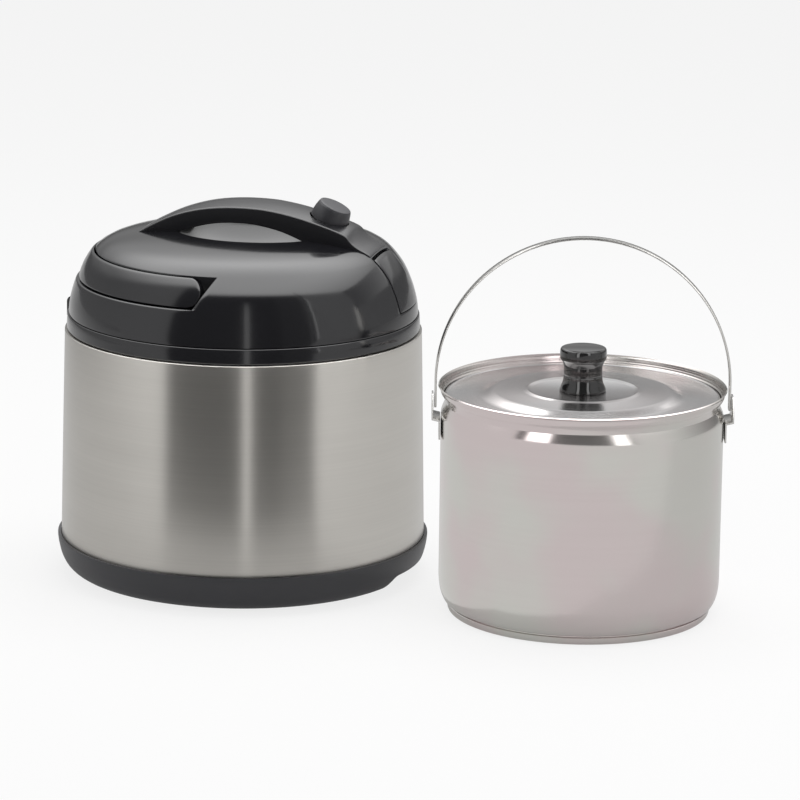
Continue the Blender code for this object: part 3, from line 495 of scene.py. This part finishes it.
# The base cover: a black moulded cup round the shell's foot, with a wide notch at the front
# where fingers reach under.

def plastic(name, colour, rough, grain, bump, coat=0.0):
    """Moulded plastic: one colour with a little flow in it, and a fine grain."""
    made, s = material(name)
    place = s.add("TexCoord").outputs["Object"]
    flow = s.noise(place, 14.0, 3.0)
    fine = s.noise(place, grain, 2.0)
    tone = s.blend([c * 0.88 for c in colour], [c * 1.12 for c in colour], flow)
    bumped = s.add("Bump", Strength=bump, Distance=0.0003, Height=fine)
    skin = s.add("BsdfPrincipled", Base_Color=tone, Roughness=flow * 0.06 + (rough - 0.03),
                 Normal=bumped.outputs[0])
    skin.inputs["Coat Weight"].default_value = coat
    skin.inputs["Coat Roughness"].default_value = 0.06
    s.add("OutputMaterial", Surface=skin.outputs[0])
    return made


def prism(outline, low, high, along="Y"):
    """An outline in the upright plane across an axis, drawn out along that axis."""
    places = {"X": lambda a, b, c: (c, a, b), "Y": lambda a, b, c: (a, c, b)}
    bm = bmesh.new()
    near = [bm.verts.new(places[along](a, b, low)) for a, b in outline]
    far = [bm.verts.new(places[along](a, b, high)) for a, b in outline]
    bm.faces.new(near)
    bm.faces.new(far)
    for index in range(len(outline)):
        after = (index + 1) % len(outline)
        bm.faces.new((near[index], near[after], far[after], far[index]))
    bmesh.ops.recalc_face_normals(bm, faces=bm.faces)
    return bm


def block(x_range, y_range, z_range):
    near, far = x_range
    low, high = z_range
    return prism([(near, low), (far, low), (far, high), (near, high)], *y_range)


def spread(low, high, count):
    """Even steps from one value to another."""
    return [low + (high - low) * step / count for step in range(count + 1)]


def arc(centre, radius, first, last, steps):
    """Points on an arc between two angles in degrees."""
    turns = [math.radians(turn) for turn in spread(first, last, steps)]
    return [(centre[0] + radius * math.cos(t), centre[1] + radius * math.sin(t)) for t in turns]


def cut(bm, other, how="DIFFERENCE"):
    """One closed mesh without another, or with INTERSECT what they share."""
    made = []
    for part in (bm, other):
        bmesh.ops.recalc_face_normals(part, faces=part.faces)
        mesh = bpy.data.meshes.new("cut")
        part.to_mesh(mesh)
        part.free()
        made.append(in_scene("cut", mesh))
    change = made[0].modifiers.new("cut", "BOOLEAN")
    change.operation = how
    change.object = made[1]
    change.solver = "EXACT"
    graph = bpy.context.evaluated_depsgraph_get()
    mesh = bpy.data.meshes.new_from_object(made[0].evaluated_get(graph))
    result = bmesh.new()
    result.from_mesh(mesh)
    bpy.data.meshes.remove(mesh)
    for part in made:
        old = part.data
        bpy.data.objects.remove(part)
        bpy.data.meshes.remove(old)
    return result


def base_cover():
    floor, top, hollow_top, wall = 0.0018, 0.0280, 0.0320, 0.0022
    bend = ((0.40, 0.07), (0.68, 0.22), (0.86, 0.45), (0.96, 0.72), (1, 0.92), (1, 1))
    edge = smooth_path([(0.1120, floor), *shares_of(0.1120, 0.1315, floor, top, bend)], 4)
    edge = [(0, floor)] + edge
    cover = turned(edge + [(0, top)])
    inner = inset(edge, wall)
    inner[-1] = (inner[-1][0], hollow_top)
    hollow = turned(inner + [(0, hollow_top)])
    hollow = cut(hollow, block((0.1078, 0.1355), (-0.0412, 0.0412), (-0.004, 0.0152)))
    cover = cut(cover, hollow)
    notch = [*arc((0.031, 0.005), 0.008, 0, 90, 8), *arc((-0.031, 0.005), 0.008, 90, 180, 8),
             (-0.039, -0.004), (0.039, -0.004)]
    cover = cut(cover, prism(notch, 0.1100, 0.1355, "X"))
    finished(cover, "container_base", matte_black, "container", ["base_cover"],
             container_place)


matte_black = plastic("matte_black_moulding", (0.030, 0.030, 0.034), 0.42, 900, 0.10)
base_cover()


# The collar: a glossy black ring that covers the mouth's rim, with the hinge's knuckles at
# the rear.

hinge_half = 0.0165


def collar():
    outline = [(0.1202, 0.1760), (0.1227, 0.1760), *arc((0.1227, 0.1778), 0.0018, -70, 0, 5),
               (0.12425, 0.1820), (0.1240, 0.1864), (0.1236, 0.1870), (0.1160, 0.1870), (0.1160, 0.1775),
               (0.1172, 0.1775), (0.1172, 0.1843), (0.1202, 0.1843)]
    ring = cut(turned(outline, 240), block((-0.1310, -0.1186), (-hinge_half, hinge_half), (0.1800, 0.1910)))
    finished(ring, "container_collar", gloss_black, "container", ["collar"],
             container_place, bevel=0.0003, angle=50)
    side = [(-0.1270, 0.1782), (-0.1202, 0.1782), *arc((-0.1230, 0.1882), 0.0040, -45, 180, 20)]
    knuckles = (("hinge_knuckle_left", 0.0082, 0.0150), ("hinge_knuckle_right", -0.0150, -0.0082))
    for name, low, high in knuckles:
        finished(prism(side, low, high), name, gloss_black, "container", (),
                 container_place, bevel=0.0004)


gloss_black = plastic("gloss_black_moulding", (0.0095, 0.0095, 0.0115), 0.15, 60, 0.012, coat=0.3)
collar()


# The lid: a glossy black dome with a hollow inside, moulded with a recess round its rear for
# the carry handle, a finger well under the grip, and a shallow pocket for the latch's cover that
# ends in a deeper slot.

lid_shares = ((1, 0), (0.996, 0.109), (0.982, 0.246), (0.956, 0.41), (0.915, 0.587), (0.847, 0.763),
              (0.780, 0.857), (0.683, 0.915), (0.537, 0.959), (0.325, 0.991), (0, 1))
lid_path = smooth_path(shares_of(0, 0.1230, 0.1876, 0.2462, lid_shares), 8)


def crossing(path, given, known):
    """The other coordinate of a path, where coordinate number known first has a value."""
    for start, end in zip(path, path[1:]):
        low, high = sorted((start[known], end[known]))
        if low <= given <= high and high > low:
            share = (given - start[known]) / (end[known] - start[known])
            return start[1 - known] + (end[1 - known] - start[1 - known]) * share
    nearer = min((path[0], path[-1]), key=lambda point: abs(given - point[known]))
    return nearer[1 - known]


def lid_radius_at(height):
    return crossing(lid_path, height, 1)


def lid_height_at(radius):
    return crossing(lid_path, radius, 0)


near_by = 0.0004
recess_radius = 0.1040
recess_ledge = 0.2116
recess_top = lid_height_at(recess_radius)
skirt_heights = [0.1876, 0.1890, 0.1910, 0.1937, 0.1955, 0.1972, 0.2000, 0.2030, 0.2060, 0.2088, 0.2107,
                 0.21115, 0.21148, recess_ledge]
ledge_lips = dict(zip(skirt_heights[-3:], (0.00012, 0.0004, 0.0009)))
hinge_notch_top = 0.1936
pocket_foot = 0.1970
pocket_half = 0.0204
pocket_edge = 0.1012
pocket_depth = 0.0030
slot_edge = 0.0989
slot_depth = 0.0070
well_middle, well_length, well_width, well_search_width = 0.0045, 0.0530, 0.0430, 0.0440
side_columns, pocket_columns, notch_columns = 44, 12, 10
pocket_cells = slice(side_columns, side_columns + pocket_columns)
notch_cells = slice(side_columns, side_columns + notch_columns)


def grid(bm, rows):
    """Faces between rows of points. Returns them, row by row."""
    made = [[bm.verts.new(point) for point in row] for row in rows]
    faces = []
    for row, after in zip(made, made[1:]):
        faces.append([])
        for index in range(len(row) - 1):
            corners = []
            for vert in (row[index], row[index + 1], after[index + 1], after[index]):
                if all((vert.co - other.co).length > 1e-7 for other in corners):
                    corners.append(vert)
            faces[-1].append(bm.faces.new(corners) if len(corners) > 2 else None)
    return faces


def recess_end(height):
    """How far forward the recess's end wall is at a height. It slants by 13.4 mm in 20.7 mm."""
    return 0.0004 + 0.0134 * (height - recess_ledge) / 0.0207


def end_turn(height, radius):
    """The angle of the recess's end wall at a height and a radius."""
    return math.acos(recess_end(height) / radius)


def front_turns(radius, end):
    """Angles from one recess end round the front to the other, with columns at the pocket's sides."""
    side = math.asin(pocket_half / radius)
    return (spread(-end, -side, side_columns)[:-1] + spread(-side, side, pocket_columns)[:-1]
            + spread(side, end, side_columns))


def rear_turns(radius, end):
    """Angles from one recess end round the rear to the other, with columns at the hinge's sides."""
    notch = math.asin(hinge_half / radius)
    rear = math.pi
    return (spread(end, rear - notch, side_columns)[:-1]
            + spread(rear - notch, rear + notch, notch_columns)[:-1]
            + spread(rear + notch, 2 * rear - end, side_columns))


def around(radius, turns, height):
    return [(radius * math.cos(t), radius * math.sin(t), height) for t in turns]


def rear_row(height, end):
    """The skirt's rear at a height, its top edge rounded back under the carry handle, but not at the ends."""
    radius, lip = lid_radius_at(height), ledge_lips.get(height, 0)
    turns = rear_turns(radius, end)
    fade_in = [0, 0.4, 0.8]
    fades = fade_in + [1] * (len(turns) - 2 * len(fade_in)) + fade_in[::-1]
    return [((radius - lip * fade) * math.cos(t), (radius - lip * fade) * math.sin(t), height)
            for t, fade in zip(turns, fades)]


def recess_row(height):
    """The recess's inner wall at a height."""
    return around(recess_radius, rear_turns(recess_radius, end_turn(height, recess_radius)), height)


def lid_sides(bm):
    """The skirt, the shoulder over it and the recess's walls. Returns the faces over the pocket."""
    pocket = []
    end_low = end_turn(recess_ledge, lid_radius_at(recess_ledge))
    rows = [around(lid_radius_at(z), front_turns(lid_radius_at(z), end_low), z) for z in skirt_heights]
    for row, height in zip(grid(bm, rows), skirt_heights):
        if height > pocket_foot:
            pocket += row[pocket_cells]
    rows = [rear_row(z, end_low) for z in skirt_heights]
    for row, height in zip(grid(bm, rows), skirt_heights):
        if height < hinge_notch_top:
            for face in row[notch_cells]:
                bm.faces.remove(face)
    shoulder = spread(recess_ledge, recess_top, 12)
    rows = []
    for z in shoulder:
        radius = lid_radius_at(z)
        rows.append(around(radius, front_turns(radius, end_turn(z, radius)), z))
    for row in grid(bm, rows):
        pocket += row[pocket_cells]
    grid(bm, [recess_row(z) for z in shoulder])
    for side in (1, -1):
        rows = []
        for z in shoulder:
            radius, x = lid_radius_at(z), recess_end(z)
            outer = side * math.sqrt(radius ** 2 - x ** 2)
            inner = side * math.sqrt(recess_radius ** 2 - x ** 2)
            rows.append([(x, outer, z), (x, inner + (outer - inner) / 2, z), (x, inner, z)])
        grid(bm, rows)
    outer = rear_row(recess_ledge, end_low)
    inner = recess_row(recess_ledge)
    half = [tuple((a + b) / 2 for a, b in zip(p, q)) for p, q in zip(outer, inner)]
    grid(bm, [outer, half, inner])
    return pocket


def well_height(x, y):
    """The finger well's floor, part of an ellipsoid."""
    left = 1 - ((x - well_middle) / well_length) ** 2 - (y / well_width) ** 2
    return 0.2500 - 0.0260 * math.sqrt(max(left, 0))


def well_rim(points):
    """Where the well meets the dome, on the way from its middle to each point."""
    rim = []
    for x, y in points:
        way = Vector((x - well_middle, y)).normalized()
        low, high = 0.02, 0.06
        for _ in range(40):
            reach = (low + high) / 2
            px, py = well_middle + way.x * reach, way.y * reach
            inside = ((px - well_middle) / well_length) ** 2 + (py / well_search_width) ** 2 < 1
            if inside and well_height(px, py) < lid_height_at(math.hypot(px, py)):
                low = reach
            else:
                high = reach
        rim.append((well_middle + way.x * low, way.y * low))
    return rim


def lid_surface(x, y):
    """The dome's top with the well in it, and the well's rim rounded over."""
    dome, well, soft = lid_height_at(math.hypot(x, y)), well_height(x, y), 0.0050
    share = max(soft - abs(dome - well), 0) / soft
    return min(dome, well) - share * share * soft / 4


def surface_row(points):
    return [(x, y, lid_surface(x, y)) for x, y in points]


def lid_top(bm):
    """The dome's top inside the recess's radius, and the well. Returns the faces over pocket and slot."""
    end_top = end_turn(recess_top, recess_radius)
    turns = front_turns(recess_radius, end_top) + rear_turns(recess_radius, end_top)[1:]
    ring = around(recess_radius, turns, recess_top)
    straight = []
    for edge in (pocket_edge, slot_edge):
        scale = math.hypot(edge, pocket_half) / recess_radius
        row = [(x * scale, y * scale) for x, y, z in ring]
        for index in range(side_columns, side_columns + pocket_columns + 1):
            row[index] = (edge, ring[index][1])
        straight.append(row)
    pocket_ring, slot_ring = straight
    rim = well_rim(slot_ring)
    rows = [ring, surface_row(pocket_ring)]
    for share in (*spread(0, 0.8, 9), 0.86, 0.90, 0.925, 0.945, 0.96, 0.972, 0.984, 0.993, 1):
        rows.append(surface_row((x + (rim_x - x) * share, y + (rim_y - y) * share)
                                for (x, y), (rim_x, rim_y) in zip(slot_ring, rim)))
    faces = grid(bm, rows)
    rows = [rows[-1]]
    for share in (0.993, 0.985, 0.976, 0.966, 0.954, 0.94, 0.92, 0.89, 0.85, 0.79, 0.71, 0.61, 0.49, 0.35,
                  0.2, 0.08, 0):
        rows.append(surface_row((well_middle + (x - well_middle) * share, y * share) for x, y in rim))
    grid(bm, rows)
    return faces[0][pocket_cells] + faces[1][pocket_cells]


def sink(bm, pocket):
    """Sinks the pocket square to the dome, and its slot deeper."""
    raised = bmesh.ops.extrude_face_region(bm, geom=pocket)
    bmesh.ops.delete(bm, geom=[face for face in pocket if face.is_valid], context="FACES")
    bmesh.ops.delete(bm, geom=[edge for edge in bm.edges if not edge.link_faces], context="EDGES")
    for vert in raised["geom"]:
        if isinstance(vert, bmesh.types.BMVert):
            x, y, height = vert.co
            depth = slot_depth if x < slot_edge + near_by else pocket_depth
            radius = math.hypot(x, y)
            below = (lid_radius_at(height - near_by), height - near_by)
            above = (lid_radius_at(height + near_by), height + near_by)
            run = math.hypot(above[0] - below[0], above[1] - below[1])
            outward, upward = (above[1] - below[1]) / run, -(above[0] - below[0]) / run
            vert.co -= Vector((x / radius * outward, y / radius * outward, upward)) * depth


def lid_shell():
    bm = bmesh.new()
    pocket = lid_sides(bm) + lid_top(bm)
    bmesh.ops.remove_doubles(bm, verts=bm.verts, dist=0.00002)
    bmesh.ops.recalc_face_normals(bm, faces=bm.faces)
    top = max(bm.faces, key=lambda face: face.calc_center_median().z)
    if top.normal.z < 0:
        bmesh.ops.reverse_faces(bm, faces=bm.faces)
    sink(bm, [face for face in pocket if face is not None and face.is_valid])
    mesh = bpy.data.meshes.new("lid_shell_skin")
    bm.to_mesh(mesh)
    bm.free()
    mesh.transform(Matrix.Translation(container_place))
    shell = in_scene("lid_dome", mesh)
    wall = shell.modifiers.new("wall", "SOLIDIFY")
    wall.thickness = 0.0022
    wall.offset = -1
    rounded(shell, 0.0003, 32)
    dress(shell, gloss_black, "lid", ["lid_shell"])


lid_shell()


# The latch's cover: a curved glossy moulding that fills the pocket down the lid's front and
# stands a hair proud of it. Its upper edge is straight, under the dark slot.

def strip_over_lid(rows, end, half, count, proud, thick):
    """A curved plate that follows the lid up to a straight upper edge."""
    columns = spread(-half, half, count)
    bm = bmesh.new()
    for offset in (proud, proud - thick):
        sheet = []
        for radius, height in inset(rows, -offset):
            sheet.append([(math.sqrt(radius ** 2 - y ** 2), y, height) for y in columns])
        upper = []
        for y in columns:
            radius = math.hypot(end, y)
            slope = (lid_height_at(radius + near_by) - lid_height_at(radius - near_by)) / (2 * near_by)
            lift = offset / math.hypot(1, slope)
            upper.append((end * (1 - slope * lift / radius), y, lid_height_at(radius) + lift))
        grid(bm, sheet + [upper])
    bmesh.ops.remove_doubles(bm, verts=bm.verts, dist=1e-6)
    bmesh.ops.bridge_loops(bm, edges=[edge for edge in bm.edges if edge.is_boundary])
    return bm


def latch_cover():
    foot = 0.1978
    rows = [(lid_radius_at(foot), foot)] + [(r, z) for r, z in lid_path if z > 0.1983 and r > 0.1035]
    strip = strip_over_lid(rows, end=0.1009, half=0.0198, count=12, proud=0.0004, thick=0.0030)
    finished(strip, "latch_strip", gloss_black, "lid", ["latch_cover"],
             container_place, bevel=0.0003)


latch_cover()


# The grip: one arched black moulding over the finger well, with a satin face and a round hole
# for the button. It is screwed to the lid from inside.

grip_rear = -0.0770


def grip_path(shares):
    return smooth_path(shares_of(grip_rear, 0.0980, 0.2200, 0.2660, shares), 4)


grip_top = grip_path((
    (0, 0.391), (0.040, 0.548), (0.109, 0.700), (0.194, 0.843), (0.297, 0.948), (0.411, 0.998), (0.531, 1),
    (0.634, 0.959), (0.726, 0.891), (0.829, 0.787), (0.891, 0.704), (0.914, 0.617), (0.934, 0.543),
    (0.957, 0.478), (0.983, 0.426), (1, 0.387)))
grip_under = grip_path((
    (0.154, 0.435), (0.186, 0.523), (0.246, 0.604), (0.331, 0.690), (0.414, 0.729), (0.509, 0.727),
    (0.615, 0.657), (0.700, 0.545), (0.76, 0.435)))
button_place = container_place + Vector((0.0627, 0, 0.25763))
button_tilt = Matrix.Translation(button_place) @ Matrix.Rotation(math.radians(25), 4, "Y")


def grip_section(x):
    """The grip across its length: a flat underside, upright sides, rounded edges and a slight crown."""
    half = 0.0200
    top = crossing(grip_top, x, 0)
    low = lid_height_at(math.hypot(x, half)) - 0.0012
    if grip_under[0][0] < x < grip_under[-1][0]:
        low = max(low, crossing(grip_under, x, 0))
    low = min(low, top - 0.0010)
    crown = 0.0010 + 0.0012 * min(max((x - 0.02) / 0.06, 0), 1)
    crown = min(crown, (top - low) * 0.3)
    edge = min(0.0016, (top - crown - low) * 0.5)
    foot = min(0.0007, (top - crown - low) * 0.3)
    quarter = math.pi / 2
    side = [(0, low), ((half - foot) * 0.6, low)]
    side += [(half - foot + foot * math.sin(t), low + foot - foot * math.cos(t))
             for t in spread(0, quarter, 3)]
    side += [(half - edge + edge * math.cos(t), top - crown - edge + edge * math.sin(t))
             for t in spread(0, quarter, 6)]
    side += [(y, top - crown * (y / (half - edge)) ** 2) for y in spread(half - edge, 0, 6)[1:]]
    return [(x, y, z) for y, z in side] + [(x, -y, z) for y, z in side[-2:0:-1]]


def lofted(sections):
    """A closed skin over a row of sections."""
    bm = bmesh.new()
    loops = [[bm.verts.new(point) for point in section] for section in sections]
    for loop, after in zip(loops, loops[1:]):
        for index in range(len(loop)):
            beside = (index + 1) % len(loop)
            bm.faces.new((loop[index], loop[beside], after[beside], after[index]))
    bm.faces.new(loops[0])
    bm.faces.new(loops[-1])
    return bm


def arch_grip():
    rear = next(x for x in spread(grip_rear, 0, 700) if crossing(grip_top, x, 0) > lid_height_at(-x) - 0.0015)
    nose = 0.0780
    stations = spread(rear, nose, 96) + spread(nose, 0.0976, 24)[1:]
    sections = [grip_section(x) for x in stations]
    sections.append([(x + 0.0006, y * 0.985, z - 0.0007) for x, y, z in sections[-1]])
    grip = lofted(sections)
    hole = turned([(0, -0.0065), (0.0141, -0.0065), (0.0141, 0.0200), (0, 0.0200)], 72)
    bmesh.ops.transform(hole, matrix=Matrix.Translation(-container_place) @ button_tilt, verts=hole.verts)
    finished(cut(grip, hole), "arched_grip", grip_black, "lid", ["lid_handle"],
             container_place, bevel=0.0003, angle=50)


grip_black = plastic("grip_moulding", (0.013, 0.013, 0.015), 0.28, 700, 0.05, coat=0.2)
arch_grip()


# The release button: a round domed knob of black plastic in the grip's front slope, pressed
# against a spring below it.

def release_button():
    foot, top = -0.0016, 0.0106
    path = smooth_path([(0.0134, foot), (0.0134, 0.0015), (0.0130, 0.0046), (0.0122, 0.0080),
                        (0.0117, 0.0093), (0.0108, 0.0102), (0.0060, 0.0105)], 4)
    knob = turned([(0, foot)] + path + [(0, top)], 96)
    bmesh.ops.transform(knob, matrix=button_tilt, verts=knob.verts)
    finished(knob, "release_knob", matte_black, "button", ["release_button"])


release_button()


# The carry handle: a flat glossy band that folds into the recess round the lid's rear, on a
# pin at each rounded end.

def carry_handle():
    """The band's sections round the lid. In front of the pivot it gets lower, to a half round end."""
    pivot, height, half, rounding = -0.0050, 0.22195, 0.00945, 0.0009
    path_radius, inner_radius = 0.1105, 0.1052
    shares = (-1, -0.97, -0.93, -0.87, -0.75, -0.5, 0, 0.5, 0.75, 0.87, 0.93, 0.97, 1)
    ends = [math.acos((pivot + half * 0.9996 * math.cos(t)) / path_radius)
            for t in spread(0.03, math.pi / 2, 16)]
    rear = spread(ends[-1], 2 * math.pi - ends[-1], 150)
    sections = []
    for turn in ends[:-1] + rear + [2 * math.pi - t for t in reversed(ends[:-1])]:
        x = path_radius * math.cos(turn)
        tall = half if x < pivot else math.sqrt(half ** 2 - (x - pivot) ** 2)
        outer = []
        for share in shares:
            z = height + tall * share
            inside = half * (1 - abs(share)) if x < pivot else half - math.hypot(x - pivot, z - height)
            short = max(rounding - inside, 0)
            radius = lid_radius_at(z) - 0.0013 + 0.0025 * (z - 0.2125) / 0.0189
            outer.append((radius - rounding + math.sqrt(max(rounding ** 2 - short ** 2, 0)), z))
        inner = []
        for radius, z in outer[::-3]:
            relief = inner_radius
            if x > -0.017:
                relief = max(relief, min(0.1045 / max(abs(math.sin(turn)), 0.5), radius - 0.0008))
            inner.append((relief, z))
        sections.append([(r * math.cos(turn), r * math.sin(turn), z) for r, z in outer + inner])
    finished(lofted(sections), "carry_band", gloss_black, "carry_handle_arm",
             ["carry_handle"], container_place)


carry_handle()


# The inside of the lid: a black moulded cover, screwed up to the lid's shell, with a flange, a
# plug that enters the mouth and a soft grey gasket round the plug.

def lid_inside():
    ceiling, foot = 0.2080, 0.1805
    bend = ((0, 1), (0.3, 0.945), (0.5625, 0.806), (0.76, 0.63), (0.89, 0.417), (1, 0))
    under = smooth_path([(0.0300, ceiling)] + shares_of(0.0780, 0.1100, 0.1900, ceiling, bend), 4)
    under = [(0, ceiling)] + under + [(0.1100, foot)]
    above = [point for point in inset(under, 0.0018) if point[1] > 0.1918]
    flange = [(0.1118, foot), (0.1118, 0.1895), (0.1197, 0.1895), (0.1197, 0.1915), (0.1118, 0.1915)]
    cover = turned(under + flange + above[::-1])
    for gap in ((0.1121, 0.1300), (-0.1300, -0.1121)):
        cover = cut(cover, block(gap, (-0.0100, 0.0100), (foot, 0.2100)))
    finished(cover, "lid_inner_cover", matte_black, "lid", ["inner_cover"],
             container_place, bevel=0.0003)
    low, high = (corner.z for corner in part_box("lid_gasket"))
    lip = shares_of(0.1121, 0.1155, low, high, ((0, 0), (0.35, 0), (0.62, 0.12), (0.92, 0.40), (1, 0.5),
                                                (0.92, 0.60), (0.62, 0.88), (0.35, 1), (0, 1)))
    finished(turned(lip), "lid_seal", grey_silicone, "lid", ["lid_gasket"], container_place)


grey_silicone = plastic("grey_silicone", (0.42, 0.42, 0.42), 0.48, 500, 0.06)
lid_inside()


# The pot: a drawn stainless pot with a sunk seat and a rolled rim, on a thick flat base that is
# bonded under it.

def pot_body():
    foot = ((0, 0), (0.20, 0.04), (0.42, 0.14), (0.64, 0.29), (0.82, 0.48), (0.95, 0.75), (1, 1))
    neck = ((0, 0), (0.05, 0.3), (0.5, 0.68), (1, 1))
    mouth = ((0, 0), (0.25, 0.32), (0.62, 0.6), (0.76, 0.86), (1, 1))
    path = [(0, 0.0065)] + smooth_path(shares_of(0.0915, 0.0970, 0.0065, 0.0240, foot), 3)
    path += [(0.0970, 0.0600), (0.0970, 0.1000)]
    path += smooth_path(shares_of(0.0970, 0.0940, 0.1370, 0.1465, neck), 4)
    path += smooth_path(shares_of(0.0940, 0.0990, 0.1465, 0.1580, mouth), 12)[1:]
    beads_low, beads_high, bead_pitch, bead_depth = 0.1500, 0.1551, 0.0017, 0.00012
    inner = []
    for radius, z in inset(path, 0.0010):
        if beads_low < z < beads_high:
            radius -= bead_depth * math.sin((z - beads_low) / bead_pitch * 2 * math.pi)
        inner.append((radius, z))
    finished(turned(path + inner[::-1]), "pot_body", pot_steel, "pot", ["pot_shell"],
             pot_place)
    disc = [(0, 0), (0.0885, 0), *arc((0.0885, 0.0020), 0.0020, -70, 0, 5), (0.0905, 0.0046),
            (0.0902, 0.0050), (0.0886, 0.0051), (0.0884, 0.0062), (0, 0.0062)]
    finished(turned(disc), "pot_base_plate", pot_steel, "pot", ["pot_base"], pot_place)


pot_steel = metal("pot_stainless", (0.635, 0.625, 0.59), 0.20, other=(0.65, 0.575, 0.57), lines=420,
                  bump=0.006, middle=pot_place, tint=0.03)
pot_body()


# The ears, pressed steel brackets spot welded to the pot's sides, and the flat steel bail, bent
# to a half round, that turns in them.

def ears_and_bail():
    pot_turn = math.radians(15.5)
    side = [(0.0973, 0.1220), (0.0985, 0.1220), (0.0985, 0.1345), (0.1034, 0.1357), (0.1034, 0.1525),
            (0.1022, 0.1525), (0.1022, 0.1369), (0.0973, 0.1357)]
    front = [(-0.017, 0.118), (0.017, 0.118), (0.017, 0.1345), (0.005, 0.1528), (-0.005, 0.1528),
             (-0.017, 0.1345)]
    for name, way in (("ear_left", -1), ("ear_right", 1)):
        strip = prism([(way * x, z) for x, z in side], -0.0130, 0.0130)
        ear = cut(strip, prism(front, *sorted((way * 0.09, way * 0.11)), "X"), "INTERSECT")
        finished(ear, name + "_bracket", strip_steel, "pot", [name], pot_place, pot_turn,
                 bevel=0.0003)
    centre, foot, outer, inner = (0, 0.1605), 0.1425, 0.1016, 0.1000
    outline = [(outer, foot), *arc(centre, outer, 0, 180, 96), (-outer, foot),
               (-inner, foot), *arc(centre, inner, 180, 0, 96), (inner, foot)]
    finished(prism(outline, -0.0037, 0.0037), "bail_strip", strip_steel, "bail_handle",
             ["bail"], pot_place, pot_turn, bevel=0.0004)


strip_steel = metal("strip_stainless", (0.60, 0.59, 0.57), 0.24, lines=60, bump=0.0, middle=pot_place,
                    tint=0.04)
ears_and_bail()


# The pot's lid: one pressed stainless disc with a raised middle, a bead round the knob and a
# turned-up edge, laid loose on the pot's seat.

def pot_lid():
    raised, sunk = 0.1542, 0.1508
    under = [(0, raised), (0.0350, raised), (0.0363, 0.1545), (0.0380, 0.1552), (0.0397, 0.1545),
             (0.0410, raised), (0.0600, raised)]
    under += smooth_path([(0.0600, raised), (0.0625, 0.1537), (0.0655, 0.1525), (0.0685, 0.1513),
                          (0.0710, sunk)], 3)[1:]
    under += [(0.0900, sunk), (0.0928, sunk), (0.0936, 0.1511), (0.0941, 0.1518)]
    finished(turned(wall_of(under, 0.0009)), "pot_lid_plate", pot_lid_steel, "pot_cover",
             ["pot_lid"], pot_place)


pot_lid_steel = metal("pot_lid_stainless", (0.61, 0.61, 0.61), 0.20, other=(0.61, 0.575, 0.57), lines=500,
                      bump=0.006, middle=pot_place, tint=0.03)
pot_lid()


# The lid's knob: turned black plastic with a flange, a waist and a wide flat head, held by a
# screw from below.

def pot_knob():
    foot, tall = 0.1554, 0.0300
    path = [(0.0158, 0), (0.0159, 0.0011), (0.0152, 0.0028), (0.0140, 0.0056), (0.0134, 0.0084),
            (0.0133, 0.0101), (0.0127, 0.0104), (0.0127, 0.0109), (0.0133, 0.0112), (0.0132, 0.0150),
            (0.0136, 0.0182), (0.0148, 0.0208), (0.0157, 0.0219), (0.0160, 0.0232), (0.0160, 0.0272),
            (0.0157, 0.0288), (0.0149, 0.0297), (0.0137, tall)]
    outline = [(0, foot)] + [(r, foot + z) for r, z in smooth_path(path, 3)] + [(0, foot + tall)]
    finished(turned(outline, 128), "pot_lid_knob_turned", knob_black, "pot_cover",
             ["pot_lid_knob"], pot_place)


knob_black = plastic("knob_moulding", (0.006, 0.006, 0.006), 0.10, 60, 0.010, coat=0.5)
pot_knob()


# The small parts, as the CAD has them: plated steel screws, pins, latch and spring, rubber feet,
# the hinge's moulded arm, the nylon stem under the button and the foam inside the lid.

def plated(name):
    """Dull bright plating with a faint cloudiness."""
    made, s = material(name)
    cloud = s.noise(s.add("TexCoord").outputs["Object"], 220.0, 3.0)
    tone = s.blend((0.50, 0.51, 0.53), (0.60, 0.60, 0.60), cloud)
    skin = s.add("BsdfPrincipled", Base_Color=tone, Metallic=1.0, Roughness=cloud * 0.14 + 0.24)
    s.add("OutputMaterial", Surface=skin.outputs[0])
    return made


small_finishes = {
    "zinc_plated_steel": plated("zinc_plating"),
    "black_rubber": plastic("black_rubber", (0.020, 0.020, 0.020), 0.72, 900, 0.20),
    "white_foam": plastic("white_foam", (0.82, 0.80, 0.74), 0.85, 700, 0.50),
    "natural_nylon": plastic("natural_nylon", (0.70, 0.68, 0.62), 0.45, 600, 0.05),
    "grey_silicone": grey_silicone,
    "matte_black_plastic": matte_black,
    "gloss_black_plastic": gloss_black,
    "brushed_steel": brushed_steel,
    "polished_steel": pot_steel,
}
for subpart in frame["record"]["subparts"]:
    for holder in frame["nodes"][subpart["node"]].material_slots:
        holder.material = small_finishes[subpart["material_slot"]]
